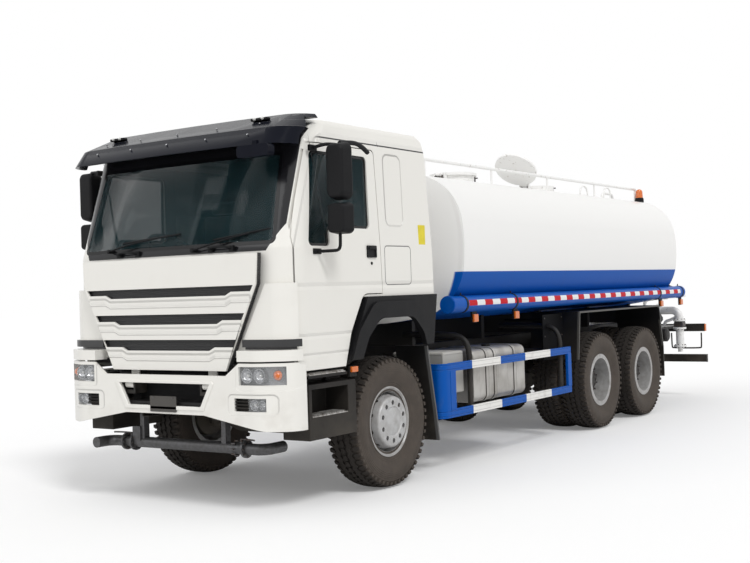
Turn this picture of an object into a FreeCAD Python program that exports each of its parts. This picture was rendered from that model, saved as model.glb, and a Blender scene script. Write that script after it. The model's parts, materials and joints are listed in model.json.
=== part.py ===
import FreeCAD, Part
import math
import os
import Sketcher
from FreeCAD import Placement, Rotation, Vector

# A three-axle tanker truck standing on its wheels. Millimetres, +Z up, the ground at z = 0.
# The truck faces -Y and its left side is +X. The origin is under the middle of its length.
doc = FreeCAD.newDocument("tanker_truck")
sheet = doc.addObject("Spreadsheet::Sheet", "Sizes")

SIZES = {
    # Whole vehicle, along Y
    "overall_length": 9750,
    "front_overhang": 1555,
    "wheelbase": 4325,
    "tandem_spacing": 1350,
    "body_half_width": 1205,
    # Wheels and tyres
    "tyre_radius": 562.5,
    "tyre_width": 315,
    "tyre_shoulder": 34,
    "front_tyre_centre": 1011,
    "rear_pair_centre": 915,
    "rear_pair_half_gap": 175,
    "rim_flange_radius": 300,
    "rim_seat_radius": 262,
    "rim_half_width": 120,
    "rim_flange": 14,
    "rim_wall": 12,
    "disc_bolt_radius": 165,
    "hub_radius": 118,
    "hub_cap_radius": 80,
    "front_hub_reach": 165,
    "rear_hub_reach": 150,
    "hand_hole_radius": 28,
    "hand_hole_circle": 212,
    "hand_hole_count": 8,
    "drum_radius": 205,
    "drum_wall": 18,
    "drum_width": 140,
    "spindle_radius": 45,
    "axle_tube_radius": 60,
    "running_clearance": 0.05,
    "body_gap": 6,
    # Axles and springs
    "kingpin_centre": 860,
    "kingpin_boss_radius": 50,
    "kingpin_boss_height": 180,
    "kingpin_lug": 30,
    "axle_beam_depth": 110,
    "axle_beam_height": 100,
    "axle_beam_drop": 95,
    "banjo_radius": 205,
    "banjo_length": 320,
    "rear_housing_half": 560,
    "spring_width": 90,
    "spring_leaf_pack": 80,
    "front_spring_half": 720,
    # Frame
    "frame_half_width": 430,
    "frame_height": 300,
    "frame_top": 1000,
    "rail_flange": 80,
    "rail_wall": 10,
    "frame_front_reach": 1380,
    "frame_rear_gap": 160,
    "crossmember_height": 180,
    "crossmember_depth": 90,
    # Power train
    "engine_front": 640,
    "engine_rear": 560,
    "engine_half_width": 380,
    "engine_bottom": 600,
    "engine_top": 1500,
    "gearbox_length": 800,
    "gearbox_half_width": 220,
    "shaft_radius": 55,
    # Cab
    "cab_rear": 680,
    "cab_rear_top": 605,
    "cab_front": 1440,
    "cab_bow": 35,
    "cab_corner": 220,
    "cab_wall": 50,
    "cab_floor": 1120,
    "cab_front_bottom": 1200,
    "cab_rear_floor": 1640,
    "cab_waist": 2030,
    "cab_gutter": 2900,
    "cab_shoulder": 3005,
    "cab_roof": 3070,
    "roof_half_width": 1085,
    "gutter_half_width": 1180,
    "shoulder_half_width": 1150,
    "header_setback": 260,
    "shoulder_setback": 350,
    "roof_setback": 450,
    "arch_front": 715,
    "cab_pivot_ahead": 1485,
    "cab_pivot_height": 980,
    "cab_pivot_radius": 30,
    "cab_pin_radius": 15,
    "cab_lug_width": 90,
    "cab_rest_length": 60,
    "cab_rest_gap": 0.3,
    # Windscreen
    "screen_half_width": 1060,
    "screen_top_half_width": 1000,
    "screen_bottom": 2070,
    "screen_top": 2800,
    "glass_thickness": 8,
    "glass_gap": 0.3,
    # Doors
    "door_front": 1300,
    "door_rear": 160,
    "door_rear_top": 205,
    "door_bottom": 1090,
    "door_top": 2860,
    "door_thickness": 72,
    "door_gap": 8,
    "door_corner": 90,
    "door_arch_top": 1665,
    "window_top": 2800,
    "window_front_top": 1060,
    "window_front_foot": 1160,
    "window_low": 2050,
    "window_step": 880,
    "window_sill": 2200,
    "window_rear": 315,
    "window_corner": 45,
    # Seats, dashboard and steering wheel
    "seat_across": 589,
    "seat_half_width": 258,
    "seat_nose": 480,
    "seat_heel": 20,
    "cushion_height": 260,
    "backrest_nose": 40,
    "backrest_heel": 90,
    "backrest_low": 200,
    "backrest_high": 880,
    "bunk_nose": 140,
    "bunk_height": 420,
    "dash_foot": 1050,
    "dash_knee": 950,
    "dash_knee_height": 240,
    "dash_top": 1150,
    "dash_end_gap": 176,
    "console_half_width": 130,
    "steering_ahead": 800,
    "steering_height": 420,
    "steering_radius": 225,
    "steering_grip": 15,
    "steering_spoke": 18,
    "column_radius": 35,
    "column_length": 330,
    "steering_tilt": 32,
    # Front panel, visor, mirrors
    "panel_top": 2005,
    "panel_lip": 1100,
    "panel_half_top": 965,
    "panel_half_shoulder": 948,
    "panel_half_lip": 624,
    "panel_shoulder": 1768,
    "panel_thickness": 60,
    "slot_depth": 34,
    "slot_dip": 28,
    "slot_dip_inset": 196,
    "slot_dip_slope": 58,
    "slot_flare": 29,
    "slot_1_top": 1760,
    "slot_1_bottom": 1714,
    "slot_1_half": 894,
    "slot_2_top": 1548,
    "slot_2_bottom": 1495,
    "slot_2_half": 798,
    "slot_3_top": 1344,
    "slot_3_bottom": 1285,
    "slot_3_half": 712,
    # Corner panels beside the front panel
    "deflector_depth": 30,
    "deflector_skin": 15,
    "deflector_top": 1768,
    "deflector_half_top": 986,
    "deflector_half_low": 772,
    "strip_depth": 50,
    "strip_high": 1343,
    "strip_low": 1284,
    "corner_rear": 1315,
    "corner_clearance": 3,
    "corner_foot_inner": 785,
    "corner_foot_top": 1262,
    "corner_foot_bottom": 1178,
    "corner_shelf_bottom": 1186,
    "corner_foot_wall": 20,
    "visor_top": 3105,
    "visor_bottom": 2830,
    "visor_thickness": 30,
    "visor_half_width": 1200,
    "visor_front": 1500,
    "visor_knee": 2969,
    "visor_knee_half_width": 1196,
    "visor_knee_front": 1395,
    "visor_top_half_width": 1120,
    "visor_top_front": 1100,
    "visor_side_low": 1238,
    "visor_side_notch": 1211,
    "visor_side_knee": 1133,
    "visor_side_top": 1040,
    "visor_back": 900,
    "visor_seat_half_width": 800,
    "visor_clearance": 3,
    "blind_mirror_inner": 800,
    "blind_mirror_outer": 1114,
    "blind_mirror_low": 2732,
    "blind_mirror_high": 2826,
    "blind_mirror_bracket": 22,
    "mirror_inner": 1300,
    "mirror_outer": 1500,
    "mirror_top": 2800,
    "mirror_split": 2390,
    "mirror_foot": 2130,
    "mirror_ahead": 1070,
    "mirror_depth": 130,
    "mirror_arm_radius": 16,
    # Fenders and steps
    "fender_radius": 640,
    "fender_lip": 70,
    "fender_outer": 1230,
    "fender_inner": 940,
    "fender_foot": 1130,
    "lip_outer": 1250,
    "lip_top": 1595,
    "lip_under": 1455,
    "lip_shoulder": 1370,
    "lip_inner_shoulder": 1310,
    "lip_front": 680,
    "lip_front_inner": 535,
    "lip_front_bend": 565,
    "lip_front_inner_bend": 435,
    "lip_top_front": 335,
    "lip_under_front": 255,
    "lip_rear": 560,
    "lip_rear_inner": 455,
    "lip_rear_bend": 520,
    "lip_rear_inner_bend": 415,
    "lip_top_rear": 285,
    "lip_under_rear": 255,
    "lip_bend": 170,
    "step_front": 1226,
    "step_rear": 605,
    "step_bottom": 550,
    "step_top": 980,
    "step_inner": 950,
    "step_outer": 1215,
    "step_wall": 40,
    "step_relief_width": 110,
    "step_relief_depth": 25,
    "lower_tread": 700,
    "upper_tread": 1050,
    "tread_thickness": 25,
    "guard_flap_bottom": 318,
    # Bumper and lamps
    "bumper_half_width": 1245,
    "bumper_side_end": 1285,
    "bumper_bottom": 650,
    "bumper_centre_bottom": 757,
    "bumper_centre_top": 1068,
    "bumper_corner_top": 1165,
    "bumper_wall": 30,
    "bumper_corner": 260,
    "lamp_inner": 800,
    "lamp_outer": 1180,
    "lamp_bottom": 1000,
    "lamp_top": 1140,
    "lamp_depth": 90,
    "lamp_flange": 10,
    "lamp_seat_outer": 880,
    "lamp_wrap_ahead": 1410,
    "fog_inner": 750,
    "fog_outer": 1040,
    "fog_bottom": 800,
    "fog_top": 900,
    "intake_half_width": 500,
    "intake_half_bottom": 400,
    "intake_top": 1003,
    "intake_bottom": 820,
    # Front spray bar
    "spray_ahead": 1330,
    "spray_height": 480,
    "spray_radius": 45,
    "spray_half_width": 850,
    "spray_leg_width": 60,
    # Tank
    "tank_half_width": 1200,
    "tank_half_height": 755,
    "tank_centre_height": 2102,
    "tank_front": 1080,
    "tank_tail_gap": 975,
    "tank_top_radius": 4000,
    "tank_side_radius": 1600,
    "tank_corner_radius": 550,
    "head_radius": 4200,
    "cradle_top_gap": 130,
    "saddle_half_width": 540,
    "platform_half_width": 900,
    "hose_bracket_inner": 900,
    "saddle_thickness": 60,
    "saddle_count": 5,
    "hose_centre": 1120,
    "hose_height": 1530,
    "hose_radius": 80,
    "hose_front": 1035,
    "hose_tail_gap": 850,
    "rail_half_spacing": 620,
    "walkway_rail_height": 165,
    "walkway_post_radius": 12,
    "walkway_rail_radius": 17,
    "walkway_front": 1520,
    "walkway_tail_gap": 1125,
    "walkway_bays": 4,
    "manhole_radius": 240,
    "manhole_neck": 95,
    "manhole_wall": 12,
    "front_manhole": 3140,
    "rear_manhole": 5220,
    "lid_radius": 268,
    "lid_thickness": 30,
    "lid_hinge_gap": 22,
    "lid_hinge_radius": 9,
    "lid_open_angle": 140,
    "beacon_across": 700,
    "beacon_tail_gap": 1155,
    "beacon_radius": 55,
    "beacon_height": 190,
    # Boxes along the frame
    "fuel_front": 1373,
    "fuel_rear": 2440,
    "fuel_bottom": 583,
    "fuel_top": 1090,
    "fuel_inner": 620,
    "side_box_outer": 1190,
    "box_corner": 70,
    "battery_front": 930,
    "battery_rear": 1300,
    "battery_bottom": 700,
    "air_tank_radius": 115,
    "silencer_front": 2000,
    "silencer_rear": 3200,
    "air_tank_length": 560,
    "guard_front": 850,
    "guard_rear": 3460,
    "guard_bottom": 500,
    "guard_top": 1000,
    "guard_rail_height": 76,
    "guard_outer": 1240,
    "guard_rail_depth": 30,
    "guard_arm_radius": 25,
    # Rear fenders and rear end
    "rear_fender_front": 3755,
    "rear_fender_rear": 6410,
    "rear_fender_top": 1375,
    "rear_fender_foot": 830,
    "rear_fender_inner": 600,
    "rear_fender_sheet": 20,
    "rear_fender_slope": 120,
    "mud_flap_bottom": 437,
    "rear_bar_height": 555,
    "rear_bar_size": 110,
    "lamp_bar_height": 1000,
    "lamp_bar_size": 110,
    "platform_height": 1030,
    "pipe_radius": 55,
    "ladder_half_width": 190,
    "ladder_tube": 20,
    "ladder_rungs": 6,
}
for row, (alias, size) in enumerate(SIZES.items(), start=1):
    sheet.set(f"A{row}", alias)
    sheet.set(f"B{row}", str(size))
    sheet.setAlias(f"B{row}", alias)
doc.recompute()


class Length:
    """A length in millimetres that keeps its formula in the sheet's cells."""

    def __init__(self, mm, formula):
        self.mm = mm
        self.formula = formula

    def __add__(self, other):
        other = length(other)
        return Length(self.mm + other.mm, f"({self.formula} + {other.formula})")

    def __sub__(self, other):
        other = length(other)
        return Length(self.mm - other.mm, f"({self.formula} - {other.formula})")

    def __mul__(self, share):
        share = length(share)
        return Length(self.mm * share.mm, f"({self.formula} * {share.formula})")

    def __truediv__(self, share):
        share = length(share)
        return Length(self.mm / share.mm, f"({self.formula} / {share.formula})")

    def __neg__(self):
        return Length(-self.mm, f"(0 - {self.formula})")

    __radd__ = __add__
    __rmul__ = __mul__

    def __rsub__(self, other):
        return length(other) - self


def length(value):
    if isinstance(value, Length):
        return value
    return Length(float(value), f"{float(value):.6f}")


class SheetSizes:
    """Gives each cell of the sheet by its alias."""

    def __getattr__(self, alias):
        return Length(float(getattr(sheet, alias)), f"Sizes.{alias}")


s = SheetSizes()


def bind(thing, prop, value):
    thing.setExpression(prop, length(value).formula)


# The shapes that the pieces are made of
AXES = "xyz"
TURNS = {
    "x": Rotation(Vector(0, 1, 0), 90),
    "y": Rotation(Vector(1, 0, 0), -90),
    "z": Rotation(),
}


def block(name, x, y, z):
    thing = doc.addObject("Part::Box", name)
    for prop, axis, span in zip(("Length", "Width", "Height"), AXES, (x, y, z)):
        bind(thing, prop, length(span[1]) - span[0])
        bind(thing, "Placement.Base." + axis, span[0])
    return thing


def rod(name, axis, centre, span, radius):
    """A round bar along an axis; centre holds the two other coordinates in X, Y, Z order."""
    thing = doc.addObject("Part::Cylinder", name)
    thing.Placement = Placement(Vector(), TURNS[axis])
    bind(thing, "Radius", radius)
    bind(thing, "Height", length(span[1]) - span[0])
    others = [other for other in AXES if other != axis]
    bind(thing, "Placement.Base." + axis, span[0])
    for other, value in zip(others, centre):
        bind(thing, "Placement.Base." + other, value)
    return thing


def cut(name, base, *tools):
    thing = doc.addObject("Part::Cut", name)
    thing.Base = base
    thing.Tool = tools[0] if len(tools) == 1 else fuse(name + "_tools", *tools)
    return thing


def fuse(name, *pieces):
    thing = doc.addObject("Part::MultiFuse", name)
    thing.Shapes = list(pieces)
    return thing


def common(name, *pieces):
    thing = doc.addObject("Part::MultiCommon", name)
    thing.Shapes = list(pieces)
    return thing


def group(name, *pieces):
    thing = doc.addObject("Part::Compound", name)
    thing.Links = list(pieces)
    return thing


def mirrored(name, source):
    thing = doc.addObject("Part::Mirroring", name)
    thing.Source = source
    thing.Normal = Vector(1, 0, 0)
    return thing


def both_sides(name, source):
    return group(name, source, mirrored(name + "_right", source))


def corner_points(corners):
    """Each corner's point, rounding and the distance from it to where its arc starts."""
    points = [Vector(length(c[0]).mm, length(c[1]).mm, 0) for c in corners]
    found = []
    for i, corner in enumerate(corners):
        before = (points[i - 1] - points[i]).normalize()
        after = (points[(i + 1) % len(points)] - points[i]).normalize()
        radius = length(corner[2]).mm if len(corner) > 2 else 0
        half = before.getAngle(after) / 2
        found.append((points[i], before, after, radius, radius / math.tan(half)))
    return found


def draw_outline(sketch, corners):
    """Draws a closed outline whose corners are (across, up) or (across, up, rounding)."""
    found = corner_points(corners)
    count = len(corners)
    for i, (point, before, after, radius, reach) in enumerate(found):
        beyond, back, _, _, reach_beyond = found[(i + 1) % count]
        sketch.addGeometry(Part.LineSegment(point + after * reach, beyond + back * reach_beyond))
    for i, (point, before, after, radius, reach) in enumerate(found):
        across, up = corners[i][0], corners[i][1]
        into, out = (i - 1) % count, i
        if radius:
            first = point + before * reach
            last = point + after * reach
            middle = (before + after).normalize()
            centre = point + middle * math.hypot(radius, reach)
            arc = sketch.addGeometry(Part.Arc(first, centre - middle * radius, last))
            turns_left = (point - first).cross(last - point).z > 0
            start, end = (1, 2) if turns_left else (2, 1)
            mark = sketch.addGeometry(Part.Point(point), True)
            sketch.addConstraint(Sketcher.Constraint("Tangent", into, 2, arc, start))
            sketch.addConstraint(Sketcher.Constraint("Tangent", arc, end, out, 1))
            sketch.addConstraint(Sketcher.Constraint("PointOnObject", mark, 1, into))
            sketch.addConstraint(Sketcher.Constraint("PointOnObject", mark, 1, out))
            fixed = sketch.addConstraint(Sketcher.Constraint("Radius", arc, radius))
            sketch.setExpression(f"Constraints[{fixed}]", length(corners[i][2]).formula)
            place = (mark, 1)
        else:
            sketch.addConstraint(Sketcher.Constraint("Coincident", into, 2, out, 1))
            place = (out, 1)
        for kind, value in (("DistanceX", length(across)), ("DistanceY", length(up))):
            fixed = sketch.addConstraint(Sketcher.Constraint(kind, -1, 1, *place, value.mm))
            sketch.setExpression(f"Constraints[{fixed}]", value.formula)


PLANES = {"x": "YZ_Plane", "y": "XZ_Plane", "z": "XY_Plane"}


def body_with_outline(name, axis, corners):
    body = doc.addObject("PartDesign::Body", name)
    sketch = body.newObject("Sketcher::SketchObject", name + "_outline")
    planes = [plane for plane in body.Origin.OriginFeatures if plane.Role == PLANES[axis]]
    sketch.AttachmentSupport = [(planes[0], "")]
    sketch.MapMode = "FlatFace"
    draw_outline(sketch, corners)
    return body, sketch


def plate(name, axis, corners, span):
    """A padded outline: (y, z) corners along x, (x, z) corners along y, (x, y) corners along z."""
    body, sketch = body_with_outline(name, axis, corners)
    start = -length(span[1]) if axis == "y" else length(span[0])
    bind(sketch, "AttachmentOffset.Base.z", start)
    pad = body.newObject("PartDesign::Pad", name + "_pad")
    pad.Profile = sketch
    pad.Length = (length(span[1]) - span[0]).mm
    bind(pad, "Length", length(span[1]) - span[0])
    return body


def turned(name, corners, centre, side=1):
    """A round piece turned about X; corners are (along, radius) from its centre outwards."""
    body, sketch = body_with_outline(name, "y", corners)
    turn = body.newObject("PartDesign::Revolution", name + "_turn")
    turn.Profile = sketch
    turn.ReferenceAxis = (sketch, ["H_Axis"])
    turn.Angle = 360
    if side < 0:
        body.Placement = Placement(Vector(), Rotation(Vector(0, 0, 1), 180))
    for axis, value in zip(AXES, centre):
        bind(body, "Placement.Base." + axis, value)
    return body


def formed(name, shape):
    """A piece whose curved shape is made from the sheet's sizes by geometry functions."""
    thing = doc.addObject("Part::Feature", name)
    thing.Shape = shape
    thing.Placement = Placement()
    return thing


def bent_pipe(name, points, radius, bend):
    """A round pipe along straight runs joined by tangent arcs."""
    points = [Vector(*(length(value).mm for value in point)) for point in points]
    edges = []
    start = points[0]
    for before, corner, after in zip(points, points[1:], points[2:]):
        into = (before - corner).normalize()
        out = (after - corner).normalize()
        reach = bend.mm / math.tan(into.getAngle(out) / 2)
        middle = (into + out).normalize()
        centre = corner + middle * math.hypot(bend.mm, reach)
        edges.append(Part.LineSegment(start, corner + into * reach).toShape())
        arc = Part.Arc(corner + into * reach, centre - middle * bend.mm, corner + out * reach)
        edges.append(arc.toShape())
        start = corner + out * reach
    edges.append(Part.LineSegment(start, points[-1]).toShape())
    path = Part.Wire(edges)
    ring = Part.Circle(points[0], points[1] - points[0], radius.mm)
    pipe = path.makePipeShell([Part.Wire([ring.toShape()])], True, True)
    return formed(name, pipe)


NODES = []


def node(name, thing):
    """Marks a finished sub-part and gives it the name of its file."""
    thing.Label = name
    NODES.append(thing)
    return thing


# Places along the truck that many pieces share
front_axle = s.front_overhang - s.overall_length / 2
axle_height = s.tyre_radius
rear_axle_1 = front_axle + s.wheelbase
rear_axle_2 = rear_axle_1 + s.tandem_spacing
tail = s.overall_length / 2


def ahead(distance):
    """A place in front of the front axle."""
    return front_axle - distance


def aft(distance):
    """A place behind the front axle."""
    return front_axle + distance


# Wheels: one tyre and rim in front, a pair on each side of the rear axles
def tyre_outline(middle):
    half = s.tyre_width / 2
    seat_half = s.rim_half_width - s.rim_flange
    tread_half = half - s.tyre_shoulder
    waist = (s.rim_flange_radius + s.tyre_radius) / 2
    return [
        (middle - seat_half, s.rim_seat_radius),
        (middle + seat_half, s.rim_seat_radius),
        (middle + seat_half, s.rim_flange_radius),
        (middle + half, waist),
        (middle + tread_half, s.tyre_radius),
        (middle - tread_half, s.tyre_radius),
        (middle - half, waist),
        (middle - seat_half, s.rim_flange_radius),
    ]


def front_rim_outline():
    half = s.rim_half_width
    inner = s.rim_seat_radius - s.rim_wall
    face = half + s.rim_wall / 2
    drum_end = face - s.disc_bolt_radius / 3
    drum_inner = drum_end - s.drum_width
    return [
        (-half, s.rim_flange_radius),
        (-half, inner),
        (half - s.rim_wall * 2.5, inner),
        (half - s.rim_wall * 2, inner - s.rim_wall),
        (face - s.rim_wall, s.disc_bolt_radius),
        (face - s.rim_wall, s.hub_radius),
        (drum_end, s.hub_radius),
        (drum_end, s.drum_radius),
        (drum_inner, s.drum_radius),
        (drum_inner, s.drum_radius - s.drum_wall),
        (drum_end - s.drum_wall, s.drum_radius - s.drum_wall),
        (drum_end - s.drum_wall, s.hub_radius - s.drum_wall),
        (drum_inner, s.hub_radius - s.drum_wall),
        (drum_inner, s.spindle_radius + s.running_clearance),
        (drum_end + s.body_gap, s.spindle_radius + s.running_clearance),
        (drum_end + s.body_gap, 0),
        (s.front_hub_reach, 0),
        (s.front_hub_reach, s.hub_cap_radius),
        (s.front_hub_reach - s.drum_wall, s.hub_radius - s.rim_wall),
        (face, s.hub_radius),
        (face, s.disc_bolt_radius),
        (half - s.rim_wall, inner - s.rim_wall / 2),
        (half, inner),
        (half, s.rim_flange_radius),
        (half - s.rim_flange, s.rim_flange_radius),
        (half - s.rim_flange, s.rim_seat_radius),
        (s.rim_flange - half, s.rim_seat_radius),
        (s.rim_flange - half, s.rim_flange_radius),
    ]


def rear_drum_span():
    outer = -s.rear_pair_half_gap / 3
    return outer - s.drum_width, outer


def rear_rim_outline():
    far = s.rear_pair_half_gap + s.rim_half_width
    near = s.rear_pair_half_gap - s.rim_half_width
    inner = s.rim_seat_radius - s.rim_wall
    drum_inner, drum_outer = rear_drum_span()
    disc_top = inner - s.rim_wall
    return [
        (far, s.rim_flange_radius),
        (far - s.rim_flange, s.rim_flange_radius),
        (far - s.rim_flange, s.rim_seat_radius),
        (near + s.rim_flange, s.rim_seat_radius),
        (near + s.rim_flange, s.rim_flange_radius),
        (near, s.rim_flange_radius),
        (near, inner),
        (s.rim_wall / 2, s.disc_bolt_radius),
        (-s.rim_wall / 2, s.disc_bolt_radius),
        (-near, inner),
        (-near, s.rim_flange_radius),
        (-near - s.rim_flange, s.rim_flange_radius),
        (-near - s.rim_flange, s.rim_seat_radius),
        (s.rim_flange - far, s.rim_seat_radius),
        (s.rim_flange - far, s.rim_flange_radius),
        (-far, s.rim_flange_radius),
        (-far, inner),
        (-near - s.rim_wall * 2, inner),
        (-near - s.rim_wall * 2, disc_top),
        (-s.rim_wall * 2, s.disc_bolt_radius),
        (-s.rim_wall * 2, s.hub_radius),
        (drum_outer, s.hub_radius),
        (drum_outer, s.drum_radius),
        (drum_inner, s.drum_radius),
        (drum_inner, s.drum_radius - s.drum_wall),
        (drum_outer - s.drum_wall, s.drum_radius - s.drum_wall),
        (drum_outer - s.drum_wall, s.hub_radius - s.drum_wall),
        (drum_inner, s.hub_radius - s.drum_wall),
        (drum_inner, s.axle_tube_radius + s.running_clearance),
        (near, s.axle_tube_radius + s.running_clearance),
        (near, 0),
        (s.rear_hub_reach, 0),
        (s.rear_hub_reach, s.axle_tube_radius),
        (s.rear_hub_reach - s.drum_wall, s.hub_cap_radius),
        (near + s.drum_wall * 2, s.hub_cap_radius),
        (near + s.drum_wall * 2, s.hub_radius),
        (s.rim_wall * 2, s.hub_radius),
        (s.rim_wall * 2, s.disc_bolt_radius),
        (near + s.rim_wall * 2, disc_top),
        (near + s.rim_wall * 2, inner),
        (far, inner),
    ]


def hand_holes(body, name, reach):
    """Round holes through the disc, in a ring about the axle."""
    doc.recompute()
    planes = [plane for plane in body.Origin.OriginFeatures if plane.Role == "YZ_Plane"]
    sketch = body.newObject("Sketcher::SketchObject", name + "_hole_outline")
    sketch.AttachmentSupport = [(planes[0], "")]
    sketch.MapMode = "FlatFace"
    centre = Vector(s.hand_hole_circle.mm, 0, 0)
    sketch.addGeometry(Part.Circle(centre, Vector(0, 0, 1), s.hand_hole_radius.mm))
    sizes = (
        ("Radius", (0,), s.hand_hole_radius),
        ("DistanceX", (-1, 1, 0, 3), s.hand_hole_circle),
        ("DistanceY", (-1, 1, 0, 3), length(0)),
    )
    for kind, places, value in sizes:
        fixed = sketch.addConstraint(Sketcher.Constraint(kind, *places, value.mm))
        sketch.setExpression(f"Constraints[{fixed}]", value.formula)
    pocket = body.newObject("PartDesign::Pocket", name + "_hole")
    pocket.Profile = sketch
    pocket.Midplane = True
    pocket.Length = reach.mm
    bind(pocket, "Length", reach)
    ring = body.newObject("PartDesign::PolarPattern", name + "_holes")
    ring.Originals = [pocket]
    axes = [axis for axis in body.Origin.OriginFeatures if axis.Role == "X_Axis"]
    ring.Axis = (axes[0], [""])
    ring.Angle = 360
    ring.Occurrences = int(s.hand_hole_count.mm)
    bind(ring, "Occurrences", s.hand_hole_count)
    body.Tip = ring


WHEELS = {
    "front": (front_axle, s.front_tyre_centre),
    "middle": (rear_axle_1, s.rear_pair_centre),
    "rear": (rear_axle_2, s.rear_pair_centre),
}
for place, (along, across) in WHEELS.items():
    for side_name, side in (("left", 1), ("right", -1)):
        name = f"{place}_{side_name}"
        centre = (across * side, along, axle_height)
        if place == "front":
            tyre = turned("tyre_" + name, tyre_outline(length(0)), centre, side)
            rim = turned("rim_" + name, front_rim_outline(), centre, side)
            hand_holes(rim, "rim_" + name, s.rim_half_width * 4)
        else:
            inner = turned("inner_tyre_" + name, tyre_outline(-s.rear_pair_half_gap), centre, side)
            outer = turned("outer_tyre_" + name, tyre_outline(s.rear_pair_half_gap), centre, side)
            tyre = group("tyre_" + name, inner, outer)
            rim = turned("rim_" + name, rear_rim_outline(), centre, side)
            hand_holes(rim, "rim_" + name, s.rear_pair_centre)
        node("tyre_" + name, tyre)
        node("rim_" + name, rim)


# Steering knuckles: two lugs on the axle's kingpin boss, a back plate and a spindle
def knuckle(name, side):
    boss_half = s.kingpin_boss_height / 2 + s.running_clearance
    plate_face = s.front_tyre_centre + s.rim_half_width + s.rim_wall / 2
    plate_face = plate_face - s.disc_bolt_radius / 3 - s.drum_width - s.body_gap
    web_inner = s.kingpin_centre + s.kingpin_boss_radius + s.body_gap
    lugs = [
        rod(name + "_lug_top", "z", (s.kingpin_centre, front_axle),
            (axle_height + boss_half, axle_height + boss_half + s.kingpin_lug), s.kingpin_boss_radius),
        rod(name + "_lug_low", "z", (s.kingpin_centre, front_axle),
            (axle_height - boss_half - s.kingpin_lug, axle_height - boss_half), s.kingpin_boss_radius),
    ]
    half_web = s.kingpin_boss_radius * 0.8
    web = block(name + "_web", (web_inner, plate_face), (front_axle - half_web, front_axle + half_web),
                (axle_height - boss_half - s.kingpin_lug, axle_height + boss_half + s.kingpin_lug))
    arms = [
        block(name + "_arm_top", (s.kingpin_centre, web_inner), (front_axle - half_web, front_axle + half_web),
              (axle_height + boss_half, axle_height + boss_half + s.kingpin_lug)),
        block(name + "_arm_low", (s.kingpin_centre, web_inner), (front_axle - half_web, front_axle + half_web),
              (axle_height - boss_half - s.kingpin_lug, axle_height - boss_half)),
    ]
    back = rod(name + "_back_plate", "x", (front_axle, axle_height),
               (plate_face - s.rim_wall, plate_face), s.drum_radius - s.drum_wall)
    spindle_end = plate_face + s.body_gap + s.drum_width
    spindle = rod(name + "_spindle", "x", (front_axle, axle_height), (plate_face, spindle_end), s.spindle_radius)
    left = fuse(name + "_left", *lugs, *arms, web, back, spindle)
    return left if side > 0 else mirrored(name + "_right", left)


node("knuckle_left", knuckle("knuckle_l", 1))
node("knuckle_right", knuckle("knuckle_r", -1))

# Front axle: a dropped beam with a boss for each kingpin
beam_low = axle_height - s.axle_beam_drop - s.axle_beam_height / 2
beam_high = beam_low + s.axle_beam_height
beam_half_depth = s.axle_beam_depth / 2
boss_low = axle_height - s.kingpin_boss_height / 2
boss_high = axle_height + s.kingpin_boss_height / 2
beam_turn = s.frame_half_width + s.spring_width
beam_end = s.kingpin_centre
beam = plate("front_beam", "y", [
    (-beam_turn, beam_low), (beam_turn, beam_low),
    (beam_end, axle_height - s.kingpin_lug), (beam_end, axle_height + s.kingpin_lug),
    (beam_turn, beam_high), (-beam_turn, beam_high),
    (-beam_end, axle_height + s.kingpin_lug), (-beam_end, axle_height - s.kingpin_lug),
], (front_axle - beam_half_depth, front_axle + beam_half_depth))
bosses = [rod(f"kingpin_boss_{i}", "z", (s.kingpin_centre * i, front_axle), (boss_low, boss_high),
              s.kingpin_boss_radius) for i in (1, -1)]
trimmed = common("front_beam_trimmed", beam, block(
    "front_beam_limit", (-beam_end, beam_end), (front_axle - beam_half_depth, front_axle + beam_half_depth),
    (beam_low, beam_high + s.kingpin_boss_height)))
node("front_axle_beam", fuse("front_axle", trimmed, *bosses))


# Rear axles: a banjo casing with a square arm and a round stub on each side
def rear_axle(name, along):
    half_banjo = s.banjo_length / 2
    drum_inner, _ = rear_drum_span()
    stub_end = s.rear_pair_centre + s.rear_pair_half_gap - s.rim_half_width - s.body_gap
    arm_half = s.axle_tube_radius * 1.1
    banjo = rod(name + "_banjo", "y", (0, axle_height), (along - half_banjo, along + half_banjo), s.banjo_radius)
    arms = block(name + "_arms", (-s.rear_housing_half, s.rear_housing_half),
                 (along - arm_half, along + arm_half), (axle_height - arm_half, axle_height + arm_half))
    stub = rod(name + "_stub", "x", (along, axle_height), (-stub_end, stub_end), s.axle_tube_radius)
    flange_outer = s.rear_pair_centre + drum_inner - s.body_gap
    flanges = [rod(f"{name}_flange_{i}", "x", (along, axle_height),
                   (length(0) + flange_outer * i - s.rim_wall / 2, length(0) + flange_outer * i + s.rim_wall / 2),
                   s.drum_radius - s.drum_wall) for i in (1, -1)]
    return fuse(name, banjo, arms, stub, *flanges)


node("rear_axles", group("rear_axles", rear_axle("axle_middle", rear_axle_1), rear_axle("axle_rear", rear_axle_2)))

# Leaf springs: one pack over each side of the front axle, one inverted pack between the rear axles
rail_bottom = s.frame_top - s.frame_height
spring_span = (s.frame_half_width - s.spring_width, s.frame_half_width)
front_spring = plate("front_spring", "x", [
    (ahead(s.front_spring_half), rail_bottom - s.rim_wall), (ahead(s.front_spring_half), rail_bottom),
    (ahead(s.front_spring_half - s.spring_leaf_pack), rail_bottom),
    (ahead(beam_half_depth), beam_high + s.spring_leaf_pack),
    (aft(beam_half_depth), beam_high + s.spring_leaf_pack),
    (aft(s.front_spring_half - s.spring_leaf_pack), rail_bottom), (aft(s.front_spring_half), rail_bottom),
    (aft(s.front_spring_half), rail_bottom - s.rim_wall),
    (aft(beam_half_depth), beam_high), (ahead(beam_half_depth), beam_high),
], spring_span)
trunnion = rear_axle_1 + s.tandem_spacing / 2
arm_top = axle_height + s.axle_tube_radius * 1.1 + s.running_clearance
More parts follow.
